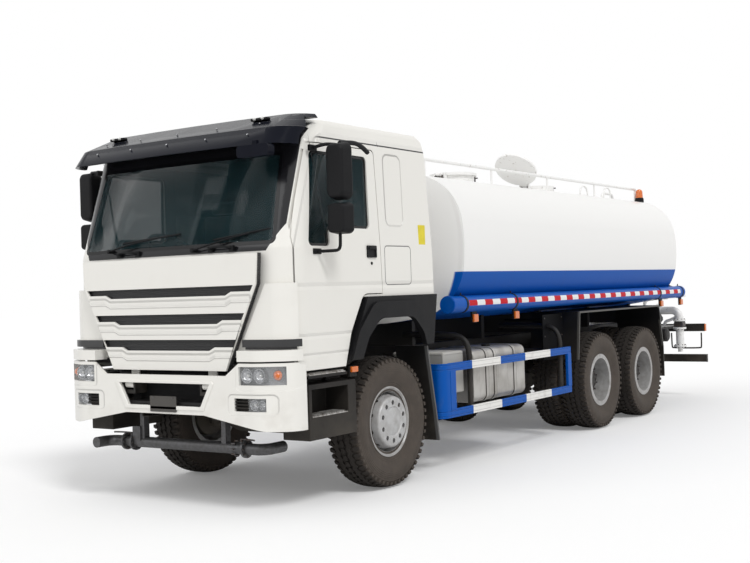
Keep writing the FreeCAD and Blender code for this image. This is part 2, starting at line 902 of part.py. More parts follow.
rear_spring = plate("rear_spring", "x", [
    (rear_axle_1 - s.axle_tube_radius, arm_top), (rear_axle_1 + s.axle_tube_radius, arm_top),
    (trunnion - s.axle_tube_radius, rail_bottom - s.spring_leaf_pack),
    (trunnion + s.axle_tube_radius, rail_bottom - s.spring_leaf_pack),
    (rear_axle_2 - s.axle_tube_radius, arm_top), (rear_axle_2 + s.axle_tube_radius, arm_top),
    (rear_axle_2 + s.axle_tube_radius, arm_top + s.rim_wall * 2),
    (trunnion + s.spring_leaf_pack, rail_bottom), (trunnion - s.spring_leaf_pack, rail_bottom),
    (rear_axle_1 - s.axle_tube_radius, arm_top + s.rim_wall * 2),
], spring_span)
springs = group("left_springs", front_spring, rear_spring)
node("leaf_springs", both_sides("all_springs", springs))

# Frame: two channel rails and the members between them
frame_front = ahead(s.frame_front_reach)
frame_rear = tail - s.frame_rear_gap
web_inner = s.frame_half_width - s.rail_wall
flange_inner = s.frame_half_width - s.rail_flange
rail = plate("frame_rail", "y", [
    (flange_inner, rail_bottom), (s.frame_half_width, rail_bottom),
    (s.frame_half_width, s.frame_top), (flange_inner, s.frame_top),
    (flange_inner, s.frame_top - s.rail_wall), (web_inner, s.frame_top - s.rail_wall),
    (web_inner, rail_bottom + s.rail_wall), (flange_inner, rail_bottom + s.rail_wall),
], (frame_front, frame_rear))
node("frame_rails", both_sides("rails", rail))

gearbox_front = aft(s.engine_rear)
gearbox_rear = gearbox_front + s.gearbox_length
member_low = s.frame_top - s.rail_wall - s.crossmember_height
member_high = s.frame_top - s.rail_wall
member_places = [
    frame_front + s.crossmember_depth,
    gearbox_rear + s.crossmember_depth * 2,
    rear_axle_1 - s.tandem_spacing,
    rear_axle_1 - s.banjo_length,
    trunnion,
    rear_axle_2 + s.tandem_spacing / 2,
    frame_rear - s.crossmember_depth,
]
members = [block(f"crossmember_{i}", (-web_inner, web_inner),
                 (along - s.crossmember_depth / 2, along + s.crossmember_depth / 2), (member_low, member_high))
           for i, along in enumerate(member_places)]


def cab_bracket(name, side):
    """Two cheeks on the rail's end, either side of the cab's lug, with the pivot pin in them."""
    pivot_y = ahead(s.cab_pivot_ahead)
    reach = s.cab_lug_width / 2 + s.body_gap
    cheeks = []
    for i in (1, -1):
        near = s.frame_half_width * side + reach * i
        far = near + s.rail_wall * 2 * i
        low, high = (near, far) if i > 0 else (far, near)
        cheeks.append(block(f"{name}_cheek_{i}", (low, high), (pivot_y - s.cab_pivot_radius, frame_front),
                            (s.cab_pivot_height - s.cab_pivot_radius * 2.5, s.cab_pivot_height + s.cab_pin_radius * 1.5)))
    across = (s.frame_half_width * side - reach - s.rail_wall * 2, s.frame_half_width * side + reach + s.rail_wall * 2)
    floor = block(name + "_floor", across, (pivot_y - s.cab_pivot_radius, frame_front),
                  (s.cab_pivot_height - s.cab_pivot_radius * 2.5, s.cab_pivot_height - s.cab_pivot_radius * 1.5))
    pin = rod(name + "_pin", "x", (pivot_y, s.cab_pivot_height), across, s.cab_pin_radius - s.running_clearance)
    return fuse(name, *cheeks, floor, pin)


brackets = [cab_bracket("cab_bracket_left", 1), cab_bracket("cab_bracket_right", -1)]
rests = [block(f"cab_rest_{i}", (flange_inner * i + min(0, i) * s.rail_flange, flange_inner * i + max(0, i) * s.rail_flange),
               (aft(s.cab_rear - s.cab_rest_length * 1.5), aft(s.cab_rear - s.cab_rest_length * 0.5)),
               (s.frame_top, s.cab_rear_floor - s.cab_rest_gap)) for i in (1, -1)]
node("frame_crossmembers", group("crossmembers", *members, *brackets, *rests))

# Engine, gearbox and shafts, as plain blocks
engine = block("engine", (-s.engine_half_width, s.engine_half_width),
               (ahead(s.engine_front), aft(s.engine_rear)), (s.engine_bottom, s.engine_top))
sump = block("sump_gap", (-s.engine_half_width - s.body_gap, s.engine_half_width + s.body_gap),
             (ahead(s.spring_leaf_pack * 1.5), aft(s.spring_leaf_pack * 1.5)), (beam_low, rail_bottom))
springs_gap = [block(f"spring_gap_{i}", (flange_inner * i - s.spring_width, flange_inner * i + s.spring_width),
                     (ahead(s.engine_front + s.body_gap), aft(s.engine_rear + s.body_gap)),
                     (beam_low, s.frame_top + s.body_gap)) for i in (1, -1)]
node("engine_block", cut("engine_cut", engine, sump, *springs_gap))

shaft_height = axle_height + s.axle_tube_radius
driveline = fuse(
    "driveline_parts",
    block("gearbox", (-s.gearbox_half_width, s.gearbox_half_width), (gearbox_front, gearbox_rear),
          (rail_bottom - s.crossmember_depth, s.frame_top - s.crossmember_depth)),
    rod("long_shaft", "y", (0, shaft_height), (gearbox_rear, rear_axle_1 - s.banjo_length / 2), s.shaft_radius),
    block("gearbox_tail", (-s.shaft_radius * 1.5, s.shaft_radius * 1.5),
          (gearbox_rear - s.crossmember_depth, gearbox_rear + s.crossmember_depth),
          (shaft_height - s.shaft_radius, rail_bottom)))
short_shaft = rod("short_shaft", "y", (0, shaft_height),
                  (rear_axle_1 + s.banjo_length / 2, rear_axle_2 - s.banjo_length / 2), s.shaft_radius)
node("driveline", group("driveline_all", driveline, short_shaft))


# Cab: its outer and inner skins are the same sections, drawn smaller by the wall
def cab_section(height, half_width, front, rear, inset):
    """A plan section: a straight back and sides, round front corners and a bowed front."""
    half = half_width.mm - inset
    corner = s.cab_corner.mm
    bow = s.cab_bow.mm
    front_y = front.mm + inset
    rear_y = rear.mm - inset
    z = height.mm
    ease = corner * (1 - math.sqrt(0.5))
    points = {
        "rear_left": Vector(half, rear_y, z),
        "side_left": Vector(half, front_y + bow + corner, z),
        "corner_left": Vector(half - ease, front_y + bow + ease, z),
        "front_left": Vector(half - corner, front_y + bow, z),
        "nose": Vector(0, front_y, z),
        "front_right": Vector(corner - half, front_y + bow, z),
        "corner_right": Vector(ease - half, front_y + bow + ease, z),
        "side_right": Vector(-half, front_y + bow + corner, z),
        "rear_right": Vector(-half, rear_y, z),
    }
    return Part.Wire([
        Part.LineSegment(points["rear_left"], points["side_left"]).toShape(),
        Part.Arc(points["side_left"], points["corner_left"], points["front_left"]).toShape(),
        Part.Arc(points["front_left"], points["nose"], points["front_right"]).toShape(),
        Part.Arc(points["front_right"], points["corner_right"], points["side_right"]).toShape(),
        Part.LineSegment(points["side_right"], points["rear_right"]).toShape(),
        Part.LineSegment(points["rear_right"], points["rear_left"]).toShape(),
    ])


CAB_LEVELS = [
    (s.door_bottom, s.body_half_width, length(0), length(0)),
    (s.cab_waist, s.body_half_width, length(0), s.cab_rear - s.cab_rear_top),
    (s.cab_gutter, s.gutter_half_width, s.header_setback, s.cab_rear - s.cab_rear_top),
    (s.cab_shoulder, s.shoulder_half_width, s.shoulder_setback, s.cab_rear - s.cab_rear_top),
    (s.cab_roof, s.roof_half_width, s.roof_setback, s.cab_rear - s.cab_rear_top),
]


def cab_solid(name, inset):
    """The closed cab form, with its skin moved in by the inset."""
    wires = []
    for i, (height, half_width, setback, rear_setback) in enumerate(CAB_LEVELS):
        level = height - (inset if i == len(CAB_LEVELS) - 1 else 0)
        rear_share = rear_setback if i > 1 else rear_setback * 0.3
        wires.append(cab_section(level, half_width, ahead(s.cab_front) + setback,
                                 aft(s.cab_rear) - rear_share, inset))
    return formed(name, Part.makeLoft(wires, True, True))


def door_outline(gap):
    """The door's edge, moved out by the gap."""
    return [
        (ahead(s.door_front + gap), s.door_bottom - gap, s.door_corner),
        (ahead(s.arch_front - gap), s.door_bottom - gap),
        (ahead(s.arch_front - gap - s.door_corner), s.door_bottom + s.door_corner * 3, s.door_corner * 3),
        (ahead((s.arch_front + s.door_rear) / 2 - gap), s.door_arch_top - gap, s.door_corner * 1.2),
        (ahead(s.door_rear - gap), s.door_arch_top - gap),
        (ahead(s.door_rear_top - gap), s.door_top + gap, s.window_corner),
        (ahead(s.window_front_top + gap + s.window_corner), s.door_top + gap, s.window_corner),
        (ahead(s.door_front + gap), s.cab_waist + s.door_corner, s.door_corner),
    ]


def window_outline(gap):
    """The door window's edge, moved in by the gap."""
    return [
        (ahead(s.window_front_foot - gap), s.window_low + gap, s.window_corner),
        (ahead(s.window_step + gap), s.window_low + gap, s.window_corner),
        (ahead(s.window_step + gap), s.window_sill + gap, s.window_corner),
        (ahead(s.window_rear + gap), s.window_sill + gap, s.window_corner),
        (ahead(s.window_rear + gap), s.window_top - gap, s.window_corner),
        (ahead(s.window_front_top - gap), s.window_top - gap, s.window_corner),
    ]


def screen_outline(gap):
    """The windscreen's edge, moved in by the gap."""
    low = s.screen_half_width - gap
    high = s.screen_top_half_width - gap
    return [
        (-low, s.screen_bottom + gap, s.window_corner), (low, s.screen_bottom + gap, s.window_corner),
        (high, s.screen_top - gap, s.window_corner), (-high, s.screen_top - gap, s.window_corner),
    ]


side_span = (s.body_half_width - s.door_thickness, s.body_half_width + s.door_thickness)
screen_span = (ahead(s.cab_front + s.cab_corner), ahead(s.cab_front - s.header_setback - s.cab_corner))
cab_outer = cab_solid("cab_outer", 0)
cab_inner = cab_solid("cab_inner", s.cab_wall.mm)
cabin_limit = fuse(
    "cabin_limit",
    block("cabin_front", (-s.body_half_width, s.body_half_width),
          (ahead(s.cab_front), ahead(s.arch_front + s.cab_wall)), (s.cab_floor + s.cab_wall, s.cab_roof)),
    block("cabin_rear", (-s.body_half_width, s.body_half_width),
          (ahead(s.arch_front + s.cab_wall * 2), aft(s.cab_rear)), (s.cab_rear_floor + s.cab_wall, s.cab_roof)))
arch_space = [
    block("arch_space", (-s.mirror_inner, s.mirror_inner), (ahead(s.arch_front), aft(s.cab_rear + s.cab_wall)),
          (s.door_bottom - s.cab_wall, s.cab_rear_floor)),
    block("front_space", (-s.mirror_inner, s.mirror_inner),
          (ahead(s.cab_front + s.cab_corner), ahead(s.door_front - s.cab_wall)),
          (s.door_bottom - s.cab_wall, s.cab_front_bottom)),
    block("sill_space", (-s.mirror_inner, s.mirror_inner),
          (ahead(s.cab_front + s.cab_corner), ahead(s.arch_front - s.cab_wall)),
          (s.door_bottom - s.cab_wall, s.cab_floor)),
]
door_hole = plate("door_hole", "x", door_outline(s.door_gap), side_span)
door_hole_inner = block(
    "door_hole_inner", (s.body_half_width - s.door_thickness * 1.2, s.body_half_width - s.door_thickness + 1),
    (ahead(s.door_front), ahead(s.door_rear + s.cab_wall)),
    (s.cab_rear_floor + s.cab_wall, s.door_top - s.cab_wall))
door_hinge_relief = block(
    "door_hinge_relief", (s.body_half_width - s.door_thickness * 1.2, s.body_half_width - s.door_thickness + 1),
    (ahead(s.door_front), ahead(s.door_front - s.cab_wall * 2)),
    (s.door_bottom - s.door_gap, s.door_top - s.cab_wall))
door_hole = fuse("door_hole_all", door_hole, door_hole_inner, door_hinge_relief)
screen_hole = plate("screen_hole", "y", screen_outline(0), screen_span)
cab_shell = cut("cab_shell_cut", cab_outer, common("cabin_space", cab_inner, cabin_limit), *arch_space,
                door_hole, mirrored("door_hole_right", door_hole), screen_hole)
pivot_y = ahead(s.cab_pivot_ahead)
lug_back = ahead(s.cab_pivot_ahead - s.cab_pivot_radius * 2)
pivot_lugs = []
for i in (1, -1):
    across = (s.frame_half_width * i - s.cab_lug_width / 2, s.frame_half_width * i + s.cab_lug_width / 2)
    pivot_lugs.append(block(f"pivot_lug_{i}", across, (ahead(s.cab_front), lug_back),
                            (s.cab_pivot_height, s.cab_front_bottom + s.rail_wall)))
    pivot_lugs.append(rod(f"pivot_eye_{i}", "x", (pivot_y, s.cab_pivot_height), across, s.cab_pivot_radius))
pivot_bore = rod("pivot_bore", "x", (pivot_y, s.cab_pivot_height), (-s.body_half_width, s.body_half_width),
                 s.cab_pin_radius)
node("cab_shell", cut("cab_shell_bored", fuse("cab_shell_parts", cab_shell, *pivot_lugs), pivot_bore))

pane = cut("screen_pane", cab_outer, cab_solid("cab_glass_inner", s.glass_thickness.mm))
screen_plug = plate("screen_plug", "y", screen_outline(s.glass_gap), screen_span)
node("windscreen", common("windscreen_glass", pane, screen_plug))

door_plug = plate("door_plug", "x", door_outline(0), side_span)
window_plug = plate("window_plug", "x", window_outline(0), side_span)
left_door = cut("left_door", common("door_block", cab_outer, door_plug), window_plug)
glass_plug = plate("glass_plug", "x", window_outline(s.glass_gap), side_span)
glass_inner = cab_solid("cab_pane_inner", s.glass_thickness.mm * 3)
glass_outer = cab_solid("cab_pane_outer", s.glass_thickness.mm * 2)
left_glass = common("left_glass", cut("door_pane", glass_outer, glass_inner), glass_plug)
node("door_left", left_door)
node("door_right", mirrored("right_door", left_door))
node("door_glass_left", left_glass)
node("door_glass_right", mirrored("right_glass", left_glass))

# Mirrors: two housings on arms that stand out from the door
mirror_span = (ahead(s.mirror_ahead), ahead(s.mirror_ahead - s.mirror_depth))
mirror_centre = ahead(s.mirror_ahead - s.mirror_depth / 2)
housing = plate("mirror_housing", "y", [
    (s.mirror_inner, s.mirror_split, s.window_corner), (s.mirror_outer, s.mirror_split, s.window_corner),
    (s.mirror_outer, s.mirror_top, s.window_corner), (s.mirror_inner, s.mirror_top, s.window_corner),
], mirror_span)
lower_housing = plate("lower_mirror_housing", "y", [
    (s.mirror_inner, s.mirror_foot, s.window_corner), (s.mirror_outer, s.mirror_foot, s.window_corner),
    (s.mirror_outer, s.mirror_split - s.rim_wall, s.window_corner),
    (s.mirror_inner, s.mirror_split - s.rim_wall, s.window_corner),
], mirror_span)
arm_top = s.window_top + s.mirror_arm_radius * 2
arm_foot = s.window_low - s.mirror_arm_radius * 2.5
arm_across = s.mirror_inner + s.mirror_arm_radius
mirror_arms = [
    rod("mirror_arm_top", "x", (mirror_centre, arm_top),
        (s.gutter_half_width, s.mirror_inner + s.window_corner), s.mirror_arm_radius),
    rod("mirror_arm_low", "x", (mirror_centre, arm_foot),
        (s.body_half_width, s.mirror_inner + s.window_corner), s.mirror_arm_radius),
    rod("mirror_post", "z", (arm_across, mirror_centre), (arm_foot, arm_top), s.mirror_arm_radius),
]
left_mirrors = fuse("left_mirrors", housing, lower_housing, *mirror_arms)
node("mirrors_left", left_mirrors)
node("mirrors_right", mirrored("right_mirrors", left_mirrors))

# Front panel: a flap hinged under the windscreen, with three bars over dark slots
panel_face = ahead(s.cab_front + s.panel_thickness)
panel_back = ahead(s.cab_front + s.glass_gap)
panel = plate("panel_blank", "y", [
    (-s.panel_half_lip, s.panel_lip), (s.panel_half_lip, s.panel_lip),
    (s.panel_half_shoulder, s.panel_shoulder), (s.panel_half_top, s.panel_top),
    (-s.panel_half_top, s.panel_top), (-s.panel_half_shoulder, s.panel_shoulder),
], (panel_face, panel_back))


def panel_slot(name, top, bottom, half):
    """A dark slot, with its lower edge dropped over the middle."""
    corner = half - s.slot_dip_inset
    middle = corner - s.slot_dip_slope
    return plate(name, "y", [
        (-half - s.slot_flare, top), (half + s.slot_flare, top), (half, bottom), (corner, bottom),
        (middle, bottom - s.slot_dip), (-middle, bottom - s.slot_dip), (-corner, bottom), (-half, bottom),
    ], (panel_face - s.slot_depth, panel_face + s.slot_depth))


slots = [panel_slot("slot_1", s.slot_1_top, s.slot_1_bottom, s.slot_1_half),
         panel_slot("slot_2", s.slot_2_top, s.slot_2_bottom, s.slot_2_half),
         panel_slot("slot_3", s.slot_3_top, s.slot_3_bottom, s.slot_3_half)]
node("front_panel", cut("front_panel_slotted", panel, *slots))

# Visor: a shell that wraps round the cab's forehead and lies on the roof, with a small mirror under it
VISOR_LEVELS = [
    (s.visor_bottom, s.visor_half_width, s.visor_front),
    (s.visor_knee, s.visor_knee_half_width, s.visor_knee_front),
    (s.visor_top, s.visor_top_half_width, s.visor_top_front),
]


def visor_solid(name, inset):
    """The visor's closed form, with its skin moved in by the inset."""
    wires = [cab_section(height, half_width, ahead(front), ahead(s.fender_radius), inset)
             for height, half_width, front in VISOR_LEVELS]
    return formed(name, Part.makeLoft(wires, True, True))


cab_clear = cab_solid("cab_clear", -s.visor_clearance.mm)
visor_hollow = common("visor_hollow", visor_solid("visor_inner", s.visor_thickness.mm),
                      block("visor_under_roof", (-s.body_half_width, s.body_half_width),
                            (ahead(s.visor_front), ahead(s.fender_radius)), (s.visor_bottom, s.cab_roof)))
visor_side = plate("visor_side", "x", [
    (ahead(s.visor_front), s.visor_bottom), (ahead(s.visor_side_low), s.visor_bottom),
    (ahead(s.visor_side_notch), s.cab_gutter), (ahead(s.visor_side_knee), s.visor_knee),
    (ahead(s.visor_side_top), s.cab_roof), (ahead(s.visor_back), s.cab_roof),
    (ahead(s.visor_back), s.visor_top), (ahead(s.visor_front), s.visor_top),
], (-s.visor_half_width, s.visor_half_width))
visor_shell = common("visor_shell", cut("visor_ring", visor_solid("visor_outer", 0), visor_hollow), visor_side)
roof_front = ahead(s.cab_front - s.roof_setback - s.cab_bow)
visor_seat = block("visor_seat", (-s.visor_seat_half_width, s.visor_seat_half_width), (roof_front, ahead(s.visor_back)),
                   (s.cab_roof, s.cab_roof + s.visor_clearance * 2))
blind_front = ahead(s.visor_front)
blind_span = (blind_front, blind_front + s.mirror_depth * 0.6)
blind_mirror = plate("blind_mirror", "y", [
    (s.blind_mirror_inner, s.blind_mirror_low, s.visor_thickness),
    (s.blind_mirror_outer, s.blind_mirror_low, s.visor_thickness),
    (s.blind_mirror_outer, s.blind_mirror_high, s.visor_thickness),
    (s.blind_mirror_inner, s.blind_mirror_high, s.visor_thickness),
], blind_span)
blind_across = (s.blind_mirror_inner + s.blind_mirror_outer) / 2
blind_bracket = block("blind_bracket", (blind_across - s.blind_mirror_bracket, blind_across + s.blind_mirror_bracket),
                      (blind_front + s.visor_thickness, blind_front + s.visor_thickness * 2),
                      (s.blind_mirror_high - s.visor_thickness, s.visor_bottom + s.visor_thickness))
node("visor", fuse("visor_parts", cut("visor_clear", visor_shell, cab_clear), visor_seat, blind_mirror, blind_bracket))

# The bumper's plan, which the feet of the corner panels follow too
def bumper_plan(inset):
    half = s.bumper_half_width - inset
    nose = ahead(s.front_overhang - inset)
    return [
        (half, ahead(s.bumper_side_end)), (half, nose + s.bumper_corner * 0.55, s.bumper_corner * 0.7),
        (half - s.bumper_corner, nose, s.bumper_corner), (s.bumper_corner - half, nose, s.bumper_corner),
        (-half, nose + s.bumper_corner * 0.55, s.bumper_corner * 0.7), (-half, ahead(s.bumper_side_end)),
    ]


# Corner panels: a white deflector, a dark strip and a foot level with the bumper's corner, on each side
corner_front = ahead(s.front_overhang + s.cab_wall)
corner_span = (corner_front, ahead(s.corner_rear))


def corner_outline(name, low, high, inner_low, inner_high):
    return plate(name, "y", [(inner_low, low), (s.fender_outer + s.cab_wall, low), (s.fender_outer + s.cab_wall, high),
                             (inner_high, high)], corner_span)


deflector = common("deflector_form", cab_solid("deflector_skin_out", -s.deflector_depth.mm), corner_outline(
    "deflector_outline", s.strip_high, s.deflector_top, s.deflector_half_low, s.deflector_half_top))
corner_skin = common("corner_skin_form", cab_solid("corner_skin_out", -s.deflector_skin.mm), corner_outline(
    "corner_skin_outline", s.corner_foot_top - s.corner_foot_wall, s.strip_high, s.deflector_half_low,
    s.deflector_half_low))
strip = common("corner_strip_form", cab_solid("strip_out", -s.strip_depth.mm), corner_outline(
    "strip_outline", s.strip_low, s.strip_high, s.deflector_half_low, s.deflector_half_low))
foot_height = (s.corner_foot_bottom, s.corner_foot_top)
foot_form = common("foot_form", plate("foot_plan", "z", bumper_plan(length(0)), foot_height),
                   block("foot_place", (s.corner_foot_inner, s.bumper_half_width), corner_span, foot_height))
foot_hollow_plan = common("foot_hollow_plan", plate("foot_inside", "z", bumper_plan(s.bumper_wall), foot_height),
                          block("foot_hollow_place", (s.corner_foot_inner + s.corner_foot_wall, s.bumper_half_width),
                                (corner_front, ahead(s.corner_rear - s.corner_foot_wall)),
                                (s.corner_foot_bottom, s.corner_foot_top - s.corner_foot_wall)))
shelf_height = (s.corner_shelf_bottom, s.cab_front_bottom)
foot_shelf = common("foot_shelf", plate("shelf_plan", "z", bumper_plan(s.bumper_wall / 2), shelf_height),
                    block("shelf_place", (s.corner_foot_inner, s.bumper_half_width), corner_span, shelf_height))
corner_skins = cut("corner_skins", fuse("corner_skin_parts", deflector, corner_skin, strip,
                                        cut("foot_ring", foot_form, foot_hollow_plan)), cab_clear)
left_corner = fuse("left_corner", corner_skins, foot_shelf)
node("corner_panels", both_sides("corner_pair", left_corner))

# Arch covers on the cab: a dark panel and a rounded fender lip over each front wheel
arch_panel = plate("arch_panel", "x", [
    (ahead(s.arch_front - s.door_gap * 3), s.fender_foot), (ahead(s.arch_front - s.door_corner * 2), s.fender_foot),
    (ahead(s.fender_radius * 0.5), s.cab_rear_floor - s.fender_lip * 2, s.fender_radius * 0.4),
    (aft(s.fender_radius * 0.5), s.cab_rear_floor - s.fender_lip * 2, s.fender_radius * 0.4),
    (aft(s.cab_rear_top - s.fender_lip), s.fender_foot + s.fender_lip),
    (aft(s.cab_rear_top), s.fender_foot + s.fender_lip),
    (aft(s.cab_rear), s.cab_rear_floor), (ahead(s.arch_front - s.door_corner * 3.4), s.cab_rear_floor),
], (s.fender_inner, s.fender_outer))
inner_cover = block("arch_inner_clear", (s.fender_inner - 1, s.body_half_width - s.cab_wall),
                    (ahead(s.arch_front), aft(s.cab_rear + s.cab_wall)),
                    (s.fender_foot - s.cab_wall, s.cab_rear_floor - s.cab_wall))
fender_lip = plate("fender_lip", "x", [
    (ahead(s.lip_front), s.fender_foot + s.body_gap), (ahead(s.lip_front_bend), s.lip_shoulder, s.lip_bend),
    (ahead(s.lip_top_front), s.lip_top, s.lip_bend), (aft(s.lip_top_rear), s.lip_top, s.lip_bend),
    (aft(s.lip_rear_bend), s.lip_shoulder, s.lip_bend), (aft(s.lip_rear), s.fender_foot + s.fender_lip),
    (aft(s.lip_rear_inner), s.fender_foot + s.fender_lip), (aft(s.lip_rear_inner_bend), s.lip_inner_shoulder, s.lip_bend),
    (aft(s.lip_under_rear), s.lip_under, s.lip_bend), (ahead(s.lip_under_front), s.lip_under, s.lip_bend),
    (ahead(s.lip_front_inner_bend), s.lip_inner_shoulder, s.lip_bend),
    (ahead(s.lip_front_inner), s.fender_foot + s.body_gap),
], (s.body_half_width, s.lip_outer))
left_fender = fuse("left_fender", cut("left_arch_panel", arch_panel, inner_cover), fender_lip)
node("cab_fenders", both_sides("cab_fender_pair", left_fender))

# Seats, dashboard and steering wheel inside the cab
seat_floor = s.cab_rear_floor + s.cab_wall
seat_parts = []
for side in (1, -1):
    across = s.seat_across * side
    half_seat = s.seat_half_width
    seat_parts.append(fuse(
        f"seat_{side}",
        block(f"cushion_{side}", (across - half_seat, across + half_seat),
              (ahead(s.seat_nose), aft(s.seat_heel)), (seat_floor, seat_floor + s.cushion_height)),
        block(f"backrest_{side}", (across - half_seat, across + half_seat),
              (ahead(s.backrest_nose), aft(s.backrest_heel)),
              (seat_floor + s.backrest_low, seat_floor + s.backrest_high))))
bunk = block("bunk", (-s.body_half_width + s.cab_wall * 2, s.body_half_width - s.cab_wall * 2),
             (aft(s.bunk_nose), aft(s.cab_rear_top - s.cab_wall * 2)), (seat_floor, seat_floor + s.bunk_height))
node("seats", group("all_seats", *seat_parts, bunk))

dash_half = s.body_half_width - s.door_thickness - s.cab_wall
dash = plate("dash_side", "x", [
    (ahead(s.cab_front - s.cab_bow - s.cab_wall - s.glass_gap), seat_floor), (ahead(s.dash_foot), seat_floor),
    (ahead(s.dash_knee), seat_floor + s.dash_knee_height, s.window_corner), (ahead(s.dash_top), s.screen_bottom),
    (ahead(s.cab_front - s.cab_bow - s.cab_wall - s.glass_gap), s.screen_bottom - s.window_corner),
], (-dash_half + s.dash_end_gap, dash_half - s.dash_end_gap))
console = block("console", (-s.console_half_width, s.console_half_width),
                (ahead(s.window_front_top), ahead(s.fender_radius)),
                (seat_floor, seat_floor + s.window_corner * 3))
wheel_x = -s.seat_across
wheel_y = ahead(s.steering_ahead)
wheel_z = seat_floor + s.steering_height
wheel_ring = doc.addObject("Part::Torus", "steering_ring")
wheel_ring.Placement = Placement(Vector(), Rotation(Vector(1, 0, 0), -s.steering_tilt.mm))
bind(wheel_ring, "Radius1", s.steering_radius)
bind(wheel_ring, "Radius2", s.steering_grip)
spoke = rod("steering_spoke", "x", (wheel_y, wheel_z), (wheel_x - s.steering_radius, wheel_x + s.steering_radius),
            s.steering_spoke)
column = doc.addObject("Part::Cylinder", "steering_column")
column.Placement = Placement(Vector(), Rotation(Vector(1, 0, 0), 180 - s.steering_tilt.mm))
bind(column, "Radius", s.column_radius)
bind(column, "Height", s.column_length)
for thing in (wheel_ring, column):
    bind(thing, "Placement.Base.x", wheel_x)
    bind(thing, "Placement.Base.y", wheel_y)
    bind(thing, "Placement.Base.z", wheel_z)
node("dashboard", fuse("dashboard_parts", dash, console, wheel_ring, spoke, column))


# Bumper: one wall round the front, with openings for the lamps and the intake
bumper_height = (s.bumper_bottom, s.bumper_corner_top)
bumper_outer = plate("bumper_outer", "z", bumper_plan(length(0)), bumper_height)
bumper_inner = plate("bumper_inner", "z", bumper_plan(s.bumper_wall), bumper_height)
bumper_depth = (ahead(s.front_overhang + s.cab_wall), ahead(s.bumper_side_end - s.cab_wall))
ramp_low = s.lamp_inner - s.window_corner * 3
bumper_front = plate("bumper_front", "y", [
    (-s.bumper_half_width, s.bumper_bottom), (-s.fog_outer, s.bumper_bottom),
    (-s.frame_half_width, s.bumper_centre_bottom), (s.frame_half_width, s.bumper_centre_bottom),
    (s.fog_outer, s.bumper_bottom), (s.bumper_half_width, s.bumper_bottom),
    (s.bumper_half_width, s.bumper_corner_top), (s.lamp_inner, s.bumper_corner_top),
    (ramp_low, s.bumper_centre_top), (-ramp_low, s.bumper_centre_top),
    (-s.lamp_inner, s.bumper_corner_top), (-s.bumper_half_width, s.bumper_corner_top),
], bumper_depth)


def lamp_outline(gap):
    return [
        (s.lamp_inner + gap, s.lamp_bottom + gap), (s.lamp_outer - gap, s.lamp_bottom + gap),
        (s.lamp_outer - gap, s.lamp_top - gap), (s.lamp_inner + gap, s.lamp_top - gap),
    ]


def fog_outline(gap):
    return [
        (s.fog_inner + gap, s.fog_bottom + gap), (s.fog_outer - gap, s.fog_bottom + gap),
        (s.fog_outer - gap, s.fog_top - gap), (s.fog_inner + gap, s.fog_top - gap),
    ]


intake = plate("intake_hole", "y", [
    (-s.intake_half_bottom, s.intake_bottom), (s.intake_half_bottom, s.intake_bottom),
    (s.intake_half_width, s.intake_top), (-s.intake_half_width, s.intake_top),
], bumper_depth)
lamp_hole = plate("lamp_hole", "y", lamp_outline(0), bumper_depth)
fog_hole = plate("fog_hole", "y", fog_outline(0), bumper_depth)
bumper_mount = [block(f"bumper_mount_{i}", (s.frame_half_width * i - s.rail_wall, s.frame_half_width * i + s.rail_wall),
                      (ahead(s.front_overhang - s.bumper_wall), frame_front),
                      (s.bumper_centre_bottom, s.intake_bottom)) for i in (1, -1)]
bumper_wall = common("bumper_wall", cut("bumper_ring", bumper_outer, bumper_inner), bumper_front)
bumper_cut = cut("bumper_cut", bumper_wall, intake, lamp_hole, mirrored("lamp_hole_right", lamp_hole),
                 fog_hole, mirrored("fog_hole_right", fog_hole))
node("bumper", fuse("bumper_parts", bumper_cut, *bumper_mount))

lamp_ring = cut("lamp_ring", bumper_outer, plate("lamp_back", "z", bumper_plan(s.lamp_depth), bumper_height))
seat_front = ahead(s.front_overhang - s.bumper_wall)
seat_span = (seat_front, ahead(s.front_overhang - s.lamp_depth))
lens_span = (bumper_depth[0], ahead(s.lamp_wrap_ahead))


def lamp(name, outline):
    """A lens level with the bumper, on a body that seats behind the bumper's wall."""
    lens = common(name + "_lens", lamp_ring, plate(name + "_plug", "y", outline(s.glass_gap), lens_span))
    flat_part = block(name + "_flat_part", (s.fog_inner - s.step_wall, s.lamp_seat_outer), seat_span,
                      (s.bumper_bottom, s.bumper_corner_top))
    seat = common(name + "_seat", flat_part, plate(name + "_flange", "y", outline(-s.lamp_flange), seat_span))
    return fuse(name, lens, seat)


headlamp = lamp("headlamp", lamp_outline)
fog_lamp = lamp("fog_lamp", fog_outline)
node("front_lamps", both_sides("lamp_pair", group("left_lamps", headlamp, fog_lamp)))

